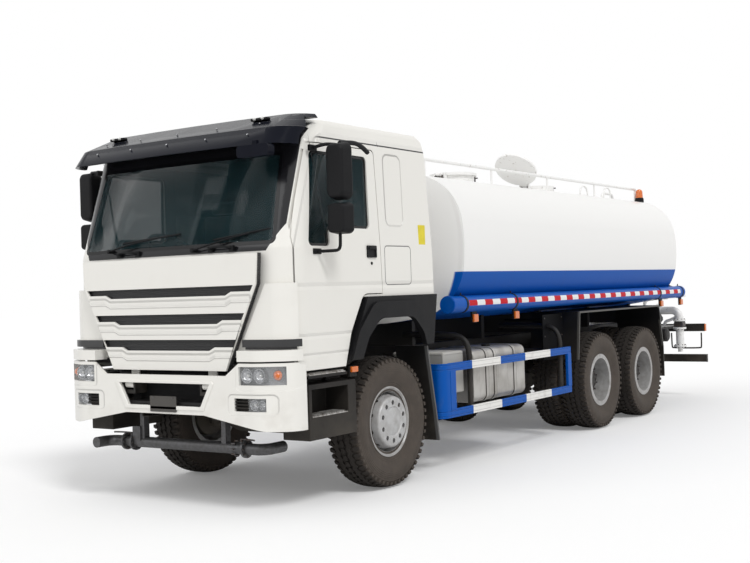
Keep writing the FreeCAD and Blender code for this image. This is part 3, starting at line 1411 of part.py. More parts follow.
# Steps below the doors, on arms from the frame
step_block = plate("step_block", "z", [
    (s.step_inner, ahead(s.step_front)), (s.step_outer, ahead(s.step_front)), (s.step_outer, ahead(s.step_rear)),
    (s.step_inner + s.step_relief_width, ahead(s.step_rear)),
    (s.step_inner, ahead(s.step_rear + s.step_relief_depth)),
], (s.step_bottom, s.step_top))
step_pocket = block("step_pocket", (s.step_inner + s.step_wall, s.step_outer + s.step_wall),
                    (ahead(s.step_front - s.step_wall), ahead(s.arch_front)),
                    (s.lower_tread + s.tread_thickness, s.step_top - s.step_wall))
upper_tread = fuse(
    "upper_tread_parts",
    block("upper_tread", (s.step_inner + s.step_wall, s.step_outer), (ahead(s.step_front), ahead(s.arch_front)),
          (s.upper_tread - s.tread_thickness, s.upper_tread)),
    block("tread_post_front", (s.step_inner + s.step_wall, s.step_inner + s.step_wall * 2),
          (ahead(s.step_front), ahead(s.step_front - s.step_wall)), (s.step_top, s.upper_tread)),
    block("tread_post_rear", (s.step_inner + s.step_wall, s.step_inner + s.step_wall * 2),
          (ahead(s.arch_front + s.step_wall), ahead(s.arch_front)), (s.step_top, s.upper_tread)))
step_arm = block("step_arm", (s.frame_half_width, s.step_inner),
                 (ahead(s.step_front - s.step_wall * 4), ahead(s.step_front - s.step_wall * 6)),
                 (rail_bottom + s.step_wall, rail_bottom + s.step_wall * 3))
left_step = fuse("left_step", cut("step_housing", step_block, step_pocket), upper_tread, step_arm)
node("steps", both_sides("step_pair", left_step))

# Mudguards behind the front wheels, on arms from the frame
guard_sheet = s.rear_fender_sheet
mudguard_top = s.fender_foot + s.fender_lip - s.body_gap * 3
mudguard = plate("front_mudguard", "x", [
    (aft(s.cab_rear - s.step_wall * 4), mudguard_top),
    (aft(s.cab_rear - s.step_wall), s.guard_bottom + s.step_wall * 2),
    (aft(s.cab_rear), s.guard_flap_bottom),
    (aft(s.cab_rear) + guard_sheet, s.guard_flap_bottom),
    (aft(s.cab_rear - s.step_wall) + guard_sheet, s.guard_bottom + s.step_wall * 2),
    (aft(s.cab_rear - s.step_wall * 4) + guard_sheet, mudguard_top),
], (s.kingpin_centre, s.body_half_width))
mudguard_arm = block("mudguard_arm", (s.frame_half_width, s.kingpin_centre + s.step_wall),
                     (aft(s.cab_rear - s.step_wall * 2.3), aft(s.cab_rear - s.step_wall * 1.3)),
                     (s.frame_top - s.step_wall * 3.5, s.frame_top - s.step_wall * 2.5))
node("front_mudguards", both_sides("mudguard_pair", fuse("left_mudguard", mudguard, mudguard_arm)))

# Front spray bar: a cross pipe on two flat legs, with a valve and two nozzles
spray_y = ahead(s.spray_ahead)
spray_pipe = bent_pipe("spray_pipe", [
    (s.spray_half_width, spray_y + s.spray_radius * 5, s.spray_height),
    (s.spray_half_width, spray_y, s.spray_height),
    (-s.spray_half_width, spray_y, s.spray_height),
    (-s.spray_half_width, spray_y - s.spray_radius * 4, s.spray_height),
], s.spray_radius, s.spray_radius * 2)
spray_legs = [block(f"spray_leg_{i}", (s.frame_half_width * i + min(0, i) * s.spray_radius,
                                       s.frame_half_width * i + max(0, i) * s.spray_radius),
                    (spray_y - s.spray_leg_width / 2, spray_y + s.spray_leg_width / 2),
                    (s.spray_height, rail_bottom + s.crossmember_height)) for i in (1, -1)]
collars = [rod(f"spray_collar_{i}", "x", (spray_y, s.spray_height), (across - s.rail_wall, across + s.rail_wall),
               s.spray_radius * 1.6)
           for i, across in enumerate((-s.spray_half_width * 0.78, -s.spray_half_width * 0.66, s.spray_half_width * 0.78))]
valve = block("spray_valve", (-s.spray_half_width * 0.6 - s.spray_radius, -s.spray_half_width * 0.6 + s.spray_radius),
              (spray_y - s.spray_radius, spray_y + s.spray_radius),
              (s.spray_height, s.spray_height + s.spray_radius * 3))
node("spray_bar", fuse("spray_bar_parts", spray_pipe, *spray_legs, *collars, valve))


# Tank: a rounded section with a dished head at each end
def arc_meeting(first, first_radius, second, second_radius):
    """The upper right point at the two given distances from two centres."""
    gap = second - first
    distance = gap.Length
    along = (first_radius ** 2 - second_radius ** 2 + distance ** 2) / (2 * distance)
    off = math.sqrt(first_radius ** 2 - along ** 2)
    unit = gap.normalize()
    side = Vector(unit.z, 0, -unit.x)
    return first + unit * along + side * off


def tank_section(along):
    """Eight tangent arcs: flat-topped, with rounder sides and tight corners."""
    half_width = s.tank_half_width.mm
    half_height = s.tank_half_height.mm
    corner = s.tank_corner_radius.mm
    top = Vector(0, 0, half_height - s.tank_top_radius.mm)
    side = Vector(half_width - s.tank_side_radius.mm, 0, 0)
    centre = arc_meeting(top, s.tank_top_radius.mm - corner, side, s.tank_side_radius.mm - corner)
    top_end = top + (centre - top).normalize() * s.tank_top_radius.mm
    side_end = side + (centre - side).normalize() * s.tank_side_radius.mm
    middle = centre + ((top_end + side_end) / 2 - centre).normalize() * corner
    height = s.tank_centre_height.mm

    def at(point, across, up):
        return Vector(point.x * across, along, height + point.z * up)

    crown = Vector(0, 0, half_height)
    flank = Vector(half_width, 0, 0)
    arcs = [
        Part.Arc(at(top_end, -1, 1), at(crown, 1, 1), at(top_end, 1, 1)),
        Part.Arc(at(top_end, 1, 1), at(middle, 1, 1), at(side_end, 1, 1)),
        Part.Arc(at(side_end, 1, 1), at(flank, 1, 1), at(side_end, 1, -1)),
        Part.Arc(at(side_end, 1, -1), at(middle, 1, -1), at(top_end, 1, -1)),
        Part.Arc(at(top_end, 1, -1), at(crown, 1, -1), at(top_end, -1, -1)),
        Part.Arc(at(top_end, -1, -1), at(middle, -1, -1), at(side_end, -1, -1)),
        Part.Arc(at(side_end, -1, -1), at(flank, -1, 1), at(side_end, -1, 1)),
        Part.Arc(at(side_end, -1, 1), at(middle, -1, 1), at(top_end, -1, 1)),
    ]
    return Part.Wire([arc.toShape() for arc in arcs])


tank_front = aft(s.tank_front)
tank_rear = tail - s.tank_tail_gap
barrel_shape = Part.Face(tank_section(tank_front.mm)).extrude(Vector(0, (tank_rear - tank_front).mm, 0))
barrel = formed("tank_barrel", barrel_shape)
heads = []
for name, middle in (("head_front", tank_front + s.head_radius), ("head_rear", tank_rear - s.head_radius)):
    head = doc.addObject("Part::Sphere", name)
    bind(head, "Radius", s.head_radius)
    bind(head, "Placement.Base.y", middle)
    bind(head, "Placement.Base.z", s.tank_centre_height)
    heads.append(head)
tank = common("tank_solid", barrel, *heads)
node("tank_shell", tank)

tank_bottom = s.tank_centre_height - s.tank_half_height
beam_bottom = s.frame_top
beam_top = beam_bottom + s.cradle_top_gap
cradle_front = aft(s.tank_front + s.manhole_radius)
cradle_rear = tank_rear - s.manhole_radius
beams = [block(f"cradle_beam_{i}", (flange_inner * i + min(0, i) * s.rail_flange,
                                    flange_inner * i + max(0, i) * s.rail_flange),
               (cradle_front, cradle_rear), (beam_bottom, beam_top)) for i in (1, -1)]
bay = (cradle_rear - cradle_front - s.saddle_thickness) / (s.saddle_count - 1)
saddles = []
for i in range(int(s.saddle_count.mm)):
    start = cradle_front + bay * i
    saddles.append(block(f"saddle_{i}", (-s.saddle_half_width, s.saddle_half_width),
                         (start, start + s.saddle_thickness), (beam_top, tank_bottom + s.manhole_radius)))
cradle = cut("cradle_cut", fuse("cradle_parts", *beams, *saddles), barrel)
node("tank_cradle", cradle)

# Hose tubes along both flanks, on brackets welded to the tank
hose_front = aft(s.hose_front)
hose_rear = tail - s.hose_tail_gap
hose = rod("hose_tube", "y", (s.hose_centre, s.hose_height), (hose_front, hose_rear), s.hose_radius)
hose_bay = (tank_rear - tank_front) / 5
hose_brackets = [block(f"hose_bracket_{i}", (s.hose_bracket_inner, s.hose_centre),
                       (tank_front + hose_bay * (i + 0.5) - s.saddle_thickness / 2,
                        tank_front + hose_bay * (i + 0.5) + s.saddle_thickness / 2),
                       (s.hose_height - s.hose_radius / 4, s.hose_height + s.hose_radius / 4)) for i in range(5)]
trimmed_brackets = [cut(f"hose_bracket_cut_{i}", bracket, barrel) for i, bracket in enumerate(hose_brackets)]
left_hose = fuse("left_hose", hose, *trimmed_brackets)
node("hose_tubes", both_sides("hose_pair", left_hose))

# Walkway rails on top, with posts cut to the tank's crown
rail_z = s.tank_centre_height + s.tank_half_height + s.walkway_rail_height - s.manhole_neck / 2
walk_front = aft(s.walkway_front)
walk_rear = tail - s.walkway_tail_gap
walk_bay = (walk_rear - walk_front) / s.walkway_bays
walk_posts = [rod(f"walkway_post_{i}", "z", (s.rail_half_spacing, walk_front + walk_bay * i),
                  (s.tank_centre_height + s.tank_half_height * 0.5, rail_z), s.walkway_post_radius)
              for i in range(int(s.walkway_bays.mm) + 1)]
walk_rail = rod("walkway_rail", "y", (s.rail_half_spacing, rail_z),
                (walk_front - s.walkway_rail_radius, walk_rear + s.walkway_rail_radius), s.walkway_rail_radius)
standing_posts = [cut(f"walkway_post_cut_{i}", post, barrel) for i, post in enumerate(walk_posts)]
left_walkway = fuse("left_walkway", walk_rail, *standing_posts)
node("walkway_rails", both_sides("walkway_pair", left_walkway))

# Manholes: a round neck, a hinge in front of it and a domed lid
neck_top = s.tank_centre_height + s.tank_half_height + s.manhole_neck
hinge_height = neck_top + s.lid_hinge_radius


def hinge_place(along):
    return along - s.lid_radius - s.lid_hinge_gap


def manhole_neck(name, along):
    base = s.tank_centre_height + s.tank_half_height * 0.8
    wall = rod(name + "_wall", "z", (0, along), (base, neck_top - s.cab_rest_gap), s.manhole_radius)
    bore = rod(name + "_bore", "z", (0, along), (base, neck_top), s.manhole_radius - s.manhole_wall)
    hinge_y = hinge_place(along)
    half_ear = s.manhole_wall * 5
    ears = []
    for i in (1, -1):
        across = (half_ear * i - s.manhole_wall / 2, half_ear * i + s.manhole_wall / 2)
        ears.append(block(f"{name}_ear_{i}", across,
                          (hinge_y - s.lid_hinge_radius * 2, along - s.manhole_radius + s.manhole_wall * 2),
                          (base, neck_top - s.manhole_wall / 4)))
        ears.append(block(f"{name}_ear_top_{i}", across,
                          (hinge_y - s.lid_hinge_radius * 2, hinge_y + s.lid_hinge_radius * 2),
                          (base, hinge_height + s.lid_hinge_radius * 2)))
    pin = rod(name + "_pin", "x", (hinge_y, hinge_height), (-half_ear, half_ear),
              s.lid_hinge_radius - s.running_clearance)
    ring = cut(name + "_ring", wall, bore)
    return fuse(name, ring, *ears, pin)


def manhole_lid(name, along, open_angle):
    """A closed lid, or one turned back about its hinge by the open angle."""
    hinge_y = hinge_place(along)
    plate_low = rod(name + "_plate", "z", (0, along), (neck_top, neck_top + s.lid_thickness), s.lid_radius)
    half_strap = s.manhole_wall * 4
    strap = block(name + "_strap", (-half_strap, half_strap), (hinge_y, along),
                  (neck_top + s.glass_gap, neck_top + s.lid_thickness))
    knuckle_bar = rod(name + "_knuckle", "x", (hinge_y, hinge_height), (-half_strap, half_strap), s.lid_hinge_radius * 2)
    bore = rod(name + "_pin_bore", "x", (hinge_y, hinge_height), (-half_strap - 1, half_strap + 1), s.lid_hinge_radius)
    lid = cut(name, fuse(name + "_parts", plate_low, strap, knuckle_bar), bore)
    if not open_angle:
        return lid
    doc.recompute()
    opened = formed(name + "_open", lid.Shape.copy())
    opened.Placement = Placement(Vector(0, 0, 0), Rotation(Vector(1, 0, 0), open_angle.mm),
                                 Vector(0, hinge_y.mm, hinge_height.mm))
    return opened


front_hole = aft(s.front_manhole)
rear_hole = aft(s.rear_manhole)
necks = [cut(f"{name}_cut", manhole_neck(name, along), barrel)
         for name, along in (("neck_front", front_hole), ("neck_rear", rear_hole))]
node("manhole_necks", group("necks", *necks))
node("manhole_lid_front", manhole_lid("lid_front", front_hole, None))
node("manhole_lid_rear", manhole_lid("lid_rear", rear_hole, s.lid_open_angle))

# Beacon on its foot, at the rear left of the tank's crown
crown_z = s.tank_centre_height + s.tank_half_height
beacon_y = tail - s.beacon_tail_gap
beacon_foot = block("beacon_foot", (s.beacon_across - s.beacon_radius, s.beacon_across + s.beacon_radius),
                    (beacon_y - s.beacon_radius, beacon_y + s.beacon_radius),
                    (crown_z - s.manhole_neck * 1.5, crown_z - s.manhole_neck * 0.3))
beacon_lamp = rod("beacon_lamp", "z", (s.beacon_across, beacon_y),
                  (crown_z - s.manhole_neck * 0.3, crown_z - s.manhole_neck * 0.3 + s.beacon_height * 0.75),
                  s.beacon_radius)
node("beacon", cut("beacon_cut", fuse("beacon_parts", beacon_foot, beacon_lamp), barrel))


# Boxes and tanks along the frame, each on brackets from the rails
def side_box(name, inner, outer, low, high, front, rear, rounding):
    """A box with rounded long edges, on two brackets bolted to the rail."""
    shell = plate(name + "_shell", "y", [
        (inner, low, rounding), (outer, low, rounding), (outer, high, rounding), (inner, high, rounding),
    ], (front, rear))
    bracket_low = rail_bottom + s.rail_wall * 3
    brackets = []
    for i, share in enumerate((0.2, 0.8)):
        along = front + (rear - front) * share
        brackets.append(block(f"{name}_bracket_{i}", (s.frame_half_width, inner + rounding),
                              (along - s.step_wall / 2, along + s.step_wall / 2),
                              (bracket_low, bracket_low + s.rail_flange)))
    return fuse(name, shell, *brackets)


fuel = side_box("fuel", s.fuel_inner, s.side_box_outer, s.fuel_bottom, s.fuel_top,
                aft(s.fuel_front), aft(s.fuel_rear), s.box_corner)
node("fuel_tank", fuel)
battery = side_box("battery", s.fuel_inner + s.box_corner, s.side_box_outer - s.box_corner, s.battery_bottom,
                   s.fuel_top, aft(s.battery_front), aft(s.battery_rear), s.rail_wall)
node("battery_box", battery)
silencer = side_box("silencer_left", s.fuel_inner, s.side_box_outer, s.fuel_bottom + s.box_corner, s.fuel_top,
                    aft(s.silencer_front), aft(s.silencer_rear), s.box_corner)
node("silencer", mirrored("silencer_right", silencer))
air_across = s.frame_half_width + s.air_tank_radius * 3
air_tanks = []
for i in range(2):
    along = (aft(s.fuel_front), aft(s.fuel_front + s.air_tank_length))
    height = s.fuel_bottom + s.air_tank_radius + s.air_tank_radius * 2.2 * i
    middle = aft(s.fuel_front + s.air_tank_length / 2)
    tank_rod = rod(f"air_tank_{i}", "y", (air_across, height), along, s.air_tank_radius)
    hanger = block(f"air_hanger_{i}", (s.frame_half_width, air_across), (middle - s.step_wall, middle + s.step_wall),
                   (height + s.rail_wall / 2, height + s.step_wall))
    air_tanks.append(fuse(f"air_{i}", tank_rod, hanger))
node("air_tanks", mirrored("air_tanks_right", group("air_left", *air_tanks)))

# Side guards: two rails and an end plate at each end, on arms from the frame
guard_inner = s.guard_outer - s.guard_rail_depth
guard_rails = [
    block("guard_rail_top", (guard_inner, s.guard_outer), (aft(s.guard_front), aft(s.guard_rear)),
          (s.guard_top - s.guard_rail_height, s.guard_top)),
    block("guard_rail_low", (guard_inner, s.guard_outer), (aft(s.guard_front), aft(s.guard_rear)),
          (s.guard_bottom, s.guard_bottom + s.guard_rail_height)),
]
node("side_guard_rails", both_sides("guard_rail_pairs", group("left_guard_rails", *guard_rails)))
end_height = (s.guard_bottom + s.guard_rail_height, s.guard_top - s.guard_rail_height)
guard_ends = [
    block("guard_end_front", (guard_inner, s.guard_outer), (aft(s.guard_front), aft(s.guard_front + s.guard_rail_height * 1.2)),
          end_height),
    block("guard_end_rear", (guard_inner, s.guard_outer), (aft(s.guard_rear - s.guard_rail_height), aft(s.guard_rear)),
          end_height),
]
arm_places = [s.fuel_front + s.step_wall * -0.8, s.guard_rear - s.guard_rail_height * 1.6]
for i, along in enumerate(arm_places):
    post = bent_pipe(f"guard_arm_{i}", [
        (s.frame_half_width, aft(along), s.guard_top - s.guard_rail_height / 2),
        (s.side_box_outer - s.guard_arm_radius, aft(along), s.guard_top - s.guard_rail_height / 2),
        (s.side_box_outer - s.guard_arm_radius, aft(along), s.guard_bottom + s.guard_rail_height / 2),
    ], s.guard_arm_radius, s.guard_arm_radius * 2.5)
    pads = [block(f"guard_pad_{i}_{k}", (s.side_box_outer - s.guard_arm_radius, guard_inner),
                  (aft(along) - s.guard_arm_radius, aft(along) + s.guard_arm_radius),
                  (height - s.guard_arm_radius, height + s.guard_arm_radius))
            for k, height in enumerate((s.guard_top - s.guard_rail_height / 2, s.guard_bottom + s.guard_rail_height / 2))]
    guard_ends.append(fuse(f"guard_post_{i}", post, *pads))
node("side_guard_posts", both_sides("guard_post_pairs", group("left_guard_posts", *guard_ends)))

# Rear fenders: a sheet folded over both axles, with a flap at the back
sheet_gap = s.rear_fender_sheet
fender_front = aft(s.rear_fender_front)
fender_rear = aft(s.rear_fender_rear)
rear_fender = plate("rear_fender", "x", [
    (fender_front - sheet_gap, s.rear_fender_foot), (fender_front, s.rear_fender_foot),
    (fender_front + s.rear_fender_slope * 0.6, s.rear_fender_top - sheet_gap),
    (fender_rear - s.rear_fender_slope, s.rear_fender_top - sheet_gap), (fender_rear, s.rear_fender_foot),
    (fender_rear, s.mud_flap_bottom), (fender_rear + sheet_gap, s.mud_flap_bottom),
    (fender_rear + sheet_gap, s.rear_fender_foot), (fender_rear - s.rear_fender_slope + sheet_gap, s.rear_fender_top),
    (fender_front + s.rear_fender_slope * 0.6 - sheet_gap, s.rear_fender_top),
], (s.rear_fender_inner, s.body_half_width))
fender_stays = [block(f"fender_stay_{i}", (s.frame_half_width, s.rear_fender_inner + s.step_wall),
                      (along, along + s.step_wall), (s.rear_fender_foot + s.rail_wall, s.rear_fender_foot + s.rail_flange))
                for i, along in enumerate((fender_front - sheet_gap - s.step_wall * 0.9, fender_rear + s.rail_wall))]
node("rear_fenders", both_sides("rear_fender_pair", fuse("left_rear_fender", rear_fender, *fender_stays)))

# Rear end: underrun bar, lamp bar, work platform, ladder and delivery pipes
bar_half = s.rear_bar_size / 2
underrun = fuse(
    "underrun_parts",
    block("underrun_beam", (-s.body_half_width, s.body_half_width), (tail - s.rear_bar_size * 0.5, tail),
          (s.rear_bar_height - bar_half, s.rear_bar_height + bar_half)),
    *[block(f"underrun_leg_{i}", (s.frame_half_width * i - s.rail_flange / 2, s.frame_half_width * i + s.rail_flange / 2),
            (frame_rear, tail - s.rear_bar_size * 0.5), (s.rear_bar_height - bar_half, s.frame_top - s.rail_flange))
      for i in (1, -1)])
node("underrun_bar", underrun)
lamp_bar = fuse(
    "lamp_bar_parts",
    block("lamp_bar_beam", (-s.body_half_width, s.body_half_width), (tail - s.lamp_bar_size, tail - s.lamp_bar_size / 2),
          (s.lamp_bar_height - s.lamp_bar_size / 2, s.lamp_bar_height + s.lamp_bar_size / 2)),
    block("lamp_bar_mount", (-s.frame_half_width, s.frame_half_width), (frame_rear, tail - s.lamp_bar_size),
          (s.frame_top - s.rail_flange, s.frame_top)))
node("rear_lamp_bar", lamp_bar)
platform_top = s.platform_height
platform = fuse(
    "platform_parts",
    block("platform_deck", (-s.platform_half_width, s.platform_half_width),
          (cradle_rear + s.saddle_thickness, tail - s.lamp_bar_size - s.rail_wall),
          (s.frame_top + s.rail_wall, platform_top + s.rail_wall)),
    *[block(f"platform_foot_{i}", (flange_inner * i + min(0, i) * s.rail_flange,
                                   flange_inner * i + max(0, i) * s.rail_flange),
            (cradle_rear + s.saddle_thickness, frame_rear), (s.frame_top, s.frame_top + s.rail_wall))
      for i in (1, -1)])
node("rear_platform", platform)
ladder_y = tank_rear + s.manhole_neck
ladder_top = crown_z + s.manhole_neck
stiles = [bent_pipe(f"ladder_stile_{i}", [
    (s.ladder_half_width * i, ladder_y, platform_top + s.rail_wall),
    (s.ladder_half_width * i, ladder_y, ladder_top),
    (s.ladder_half_width * i, ladder_y - s.manhole_neck * 4, ladder_top),
    (s.ladder_half_width * i, ladder_y - s.manhole_neck * 4, crown_z - s.manhole_neck / 2),
], s.ladder_tube, s.ladder_tube * 4) for i in (1, -1)]
rung_bay = (ladder_top - platform_top) / (s.ladder_rungs + 1)
rungs = [rod(f"ladder_rung_{i}", "x", (ladder_y, platform_top + rung_bay * (i + 1)),
             (-s.ladder_half_width, s.ladder_half_width), s.ladder_tube * 0.8) for i in range(int(s.ladder_rungs.mm))]
node("rear_ladder", cut("ladder_cut", fuse("ladder_parts", *stiles, *rungs), barrel))
delivery_x = s.platform_half_width + s.pipe_radius * 3
delivery_y = tank_rear + s.manhole_radius
delivery = fuse(
    "delivery_parts",
    bent_pipe("delivery_pipe", [
        (length(0), delivery_y, platform_top + s.manhole_radius),
        (delivery_x, delivery_y, platform_top + s.manhole_radius),
        (delivery_x, delivery_y, s.guard_bottom + s.manhole_radius),
    ], s.pipe_radius, s.pipe_radius * 2),
    block("pump_body", (-s.manhole_radius, s.manhole_radius), (delivery_y - s.pipe_radius * 2, delivery_y + s.pipe_radius * 3),
          (platform_top + s.rail_wall, platform_top + s.manhole_radius * 1.6)))
node("delivery_pipes", delivery)

# Every object has to be sound before anything is written
doc.recompute()
broken = [f"{thing.Name}: {thing.getStatusString()}" for thing in doc.Objects
          if "Invalid" in thing.State or "Error" in thing.State]
if broken:
    raise RuntimeError("these did not build: " + "; ".join(broken))
os.makedirs("parts", exist_ok=True)
for thing in NODES:
    shape = thing.Shape
    if shape.isNull() or not shape.isValid():
        raise RuntimeError(f"{thing.Label} is not a sound shape")
    shape.exportStep(f"parts/{thing.Label}.step")
    print(f"{thing.Label}: {len(shape.Solids)} solids, {shape.Volume / 1e9:.4f} m3")
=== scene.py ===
import bmesh
import bpy
import json
import math
from mathutils import Matrix, Vector

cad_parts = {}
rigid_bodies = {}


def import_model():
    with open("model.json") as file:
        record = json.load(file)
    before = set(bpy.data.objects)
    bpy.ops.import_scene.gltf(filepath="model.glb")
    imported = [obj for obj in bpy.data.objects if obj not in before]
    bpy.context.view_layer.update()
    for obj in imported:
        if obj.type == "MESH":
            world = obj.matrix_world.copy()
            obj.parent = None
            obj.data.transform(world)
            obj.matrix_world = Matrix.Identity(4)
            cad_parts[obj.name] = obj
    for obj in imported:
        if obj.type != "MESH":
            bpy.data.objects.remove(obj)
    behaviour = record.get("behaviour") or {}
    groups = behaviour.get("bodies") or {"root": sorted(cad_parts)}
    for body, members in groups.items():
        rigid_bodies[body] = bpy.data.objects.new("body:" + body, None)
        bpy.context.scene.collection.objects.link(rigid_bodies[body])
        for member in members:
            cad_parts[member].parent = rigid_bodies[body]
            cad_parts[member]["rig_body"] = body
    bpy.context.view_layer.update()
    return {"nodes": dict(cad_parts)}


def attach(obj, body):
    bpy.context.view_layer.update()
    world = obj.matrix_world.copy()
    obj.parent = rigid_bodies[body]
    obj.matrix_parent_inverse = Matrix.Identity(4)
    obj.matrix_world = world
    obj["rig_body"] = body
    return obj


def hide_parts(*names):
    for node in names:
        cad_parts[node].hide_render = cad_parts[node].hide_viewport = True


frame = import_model()

# Camera: it stands ahead of the truck's left front corner at eye height and looks back along the
# left side. The focal length is the one that the tyres, the width and the wheelbase agree on.
azimuth = math.radians(34.382)
pitch = math.radians(0.419)
roll = math.radians(-1.847)
forward = Vector((-math.sin(azimuth) * math.cos(pitch), math.cos(azimuth) * math.cos(pitch), math.sin(pitch)))
level_right = forward.cross(Vector((0, 0, 1))).normalized()
level_up = level_right.cross(forward)
camera_right = level_right * math.cos(roll) + level_up * math.sin(roll)
camera_up = level_up * math.cos(roll) - level_right * math.sin(roll)
camera_place = Matrix.Translation((6.5683, -11.4251, 1.6932))
lens_data = bpy.data.cameras.new("camera")
lens_data.sensor_width = 36
lens_data.lens = 54.63
lens_data.clip_end = 400


def placed(name, data):
    """A new object that holds the data, linked into the scene."""
    made = bpy.data.objects.new(name, data)
    bpy.context.scene.collection.objects.link(made)
    return made


camera = placed("camera", lens_data)
turned = Matrix((camera_right, camera_up, -forward)).transposed().to_4x4()
camera.matrix_world = camera_place @ turned
bpy.context.scene.camera = camera
bpy.context.scene.view_settings.view_transform = "Standard"


class Reading:
    """A shader socket that can stand in a sum: each sign adds one Math node."""

    def __init__(self, finish, socket):
        self.finish = finish
        self.socket = socket

    def __add__(self, other):
        return self.finish.sum("ADD", self, other)

    def __sub__(self, other):
        return self.finish.sum("SUBTRACT", self, other)

    def __rsub__(self, other):
        return self.finish.sum("SUBTRACT", other, self)

    def __mul__(self, other):
        return self.finish.sum("MULTIPLY", self, other)

    def __truediv__(self, other):
        return self.finish.sum("DIVIDE", self, other)

    def __mod__(self, other):
        return self.finish.sum("FLOORED_MODULO", self, other)

    def __abs__(self):
        return self.finish.sum("ABSOLUTE", self, 0)

    __radd__ = __add__
    __rmul__ = __mul__


class Finish:
    """One finish and the nodes that paint it."""

    def __init__(self, name):
        self.material = bpy.data.materials.new(name)
        self.material.use_nodes = True
        self.tree = self.material.node_tree
        self.tree.nodes.clear()

    def add(self, kind, settings=None, sockets=None, output=0):
        """A node of the given kind. Its settings come first, then its sockets' values or links."""
        made = self.tree.nodes.new("ShaderNode" + kind)
        for name, value in (settings or {}).items():
            setattr(made, name, value)
        for key, value in (sockets or {}).items():
            if isinstance(value, Reading):
                self.tree.links.new(value.socket, made.inputs[key])
            else:
                made.inputs[key].default_value = value
        return Reading(self, made.outputs[output]) if made.outputs else None

    def sum(self, operation, first, second):
        """What a Math node of the given operation makes of two values."""
        return self.add("Math", {"operation": operation}, {0: first, 1: second})

    def colours(self, share, first, second):
        """The first colour where the share is 0 and the second where it is 1."""
        settings = {"data_type": "RGBA", "clamp_factor": True}
        return self.add("Mix", settings, {0: share, 6: (*first, 1) if isinstance(first, tuple) else first,
                                          7: (*second, 1) if isinstance(second, tuple) else second}, 2)

    def place(self, axis=None):
        """Where the point is on the truck, in metres, or its x, y or z."""
        point = self.add("TexCoord", output=3)
        return point if axis is None else self.add("SeparateXYZ", None, {0: point}, "xyz".index(axis))

    def stretched(self, across, along, up):
        """Where the point is, with each direction scaled, for a pattern that is drawn out."""
        return self.add("Mapping", None, {0: self.place(), 3: (across, along, up)})

    def noise(self, scale, detail=3.0, where=None):
        """Soft random patches. A larger scale makes them smaller."""
        return self.add("TexNoise", None, {"Vector": where or self.place(), "Scale": scale, "Detail": detail})

    def ramp(self, value, low, high):
        """0 below the low value, 1 above the high one, and a straight line between."""
        return self.add("MapRange", {"clamp": True}, {0: value, 1: low, 2: high, 3: 0.0, 4: 1.0})

    def coat_of(self, colour, roughness, bump=None, bump_depth=0.001, **fixed):
        """The shader: colour, roughness and the bump may vary, and the rest are plain values."""
        sockets = {"Base Color": (*colour, 1) if isinstance(colour, tuple) else colour,
                   "Roughness": roughness}
        for name, value in fixed.items():
            sockets[name.replace("_", " ").title().replace("Ior", "IOR")] = value
        if bump is not None:
            sockets["Normal"] = self.add("Bump", None, {"Strength": 1.0, "Distance": bump_depth,
                                                        "Height": bump})
        shader = self.add("BsdfPrincipled", None, sockets)
        self.add("OutputMaterial", None, {0: shader})
        return self.material


# Studio: a pale floor that keeps the truck's shadow, a white surround for the camera and for
# glossy and clear surfaces, one broad soft lamp high on the truck's left and a weak one in front.
floor_finish = Finish("pale_floor")
floor_paint = floor_finish.add("BsdfDiffuse", None, {0: (0.86, 0.86, 0.86, 1)})
seen = floor_finish.add("LightPath")
glow = floor_finish.add("Emission", None, {0: (1, 1, 1, 1), 1: seen * 0.14})
floor_finish.add("OutputMaterial", None, {0: floor_finish.add("AddShader", None, {0: floor_paint, 1: glow})})
floor_mesh = bpy.data.meshes.new("floor")
floor_mesh.from_pydata([(-90, -90, 0), (90, -90, 0), (90, 90, 0), (-90, 90, 0)], [], [(0, 1, 2, 3)])
floor_mesh.materials.append(floor_finish.material)
floor = placed("floor", floor_mesh)

surround = bpy.data.worlds.new("surround")
bpy.context.scene.world = surround
surround.use_nodes = True
surround_nodes = surround.node_tree.nodes
surround_nodes.clear()
sky_rays = surround_nodes.new("ShaderNodeLightPath")
any_seen, any_bright = [surround_nodes.new("ShaderNodeMath") for _ in range(2)]
any_seen.operation = any_bright.operation = "MAXIMUM"
shade = surround_nodes.new("ShaderNodeMapRange")
shade.inputs["To Min"].default_value = 0.6
shade.inputs["To Max"].default_value = 1.0
sky = surround_nodes.new("ShaderNodeBackground")
sky.inputs["Color"].default_value = (1, 1, 1, 1)
sky_out = surround_nodes.new("ShaderNodeOutputWorld")
for source, target in (
        (sky_rays.outputs["Is Camera Ray"], any_seen.inputs[0]),
        (sky_rays.outputs["Is Glossy Ray"], any_seen.inputs[1]),
        (any_seen.outputs[0], any_bright.inputs[0]),
        (sky_rays.outputs["Is Transmission Ray"], any_bright.inputs[1]),
        (any_bright.outputs[0], shade.inputs[0]),
        (shade.outputs[0], sky.inputs["Strength"]),
        (sky.outputs[0], sky_out.inputs[0])):
    surround.node_tree.links.new(source, target)

for name, turn, strength, softness in (("key_lamp", (42, 0, 62), 1.35, 16),
                                       ("front_lamp", (58, 0, -20), 0.55, 40)):
    lamp_data = bpy.data.lights.new(name, "SUN")
    lamp_data.energy = strength
    lamp_data.angle = math.radians(softness)
    placed(name, lamp_data).rotation_euler = [math.radians(angle) for angle in turn]

# Ladder frame: two pressed channel rails with riveted cross members, the cab's pivot brackets in
# front and its rests behind. Hot-rolled steel under one coat of black, dulled by road dust.
CHASSIS_BLACK = (0.009, 0.009, 0.010)
ROAD_DUST = (0.135, 0.115, 0.090)
merge_distance = 0.00002
rail_face = 0.430


def mesh_of(shape):
    """A mesh of its own from a worked shape, which is freed."""
    mesh = bpy.data.meshes.new("work")
    shape.to_mesh(mesh)
    shape.free()
    return mesh


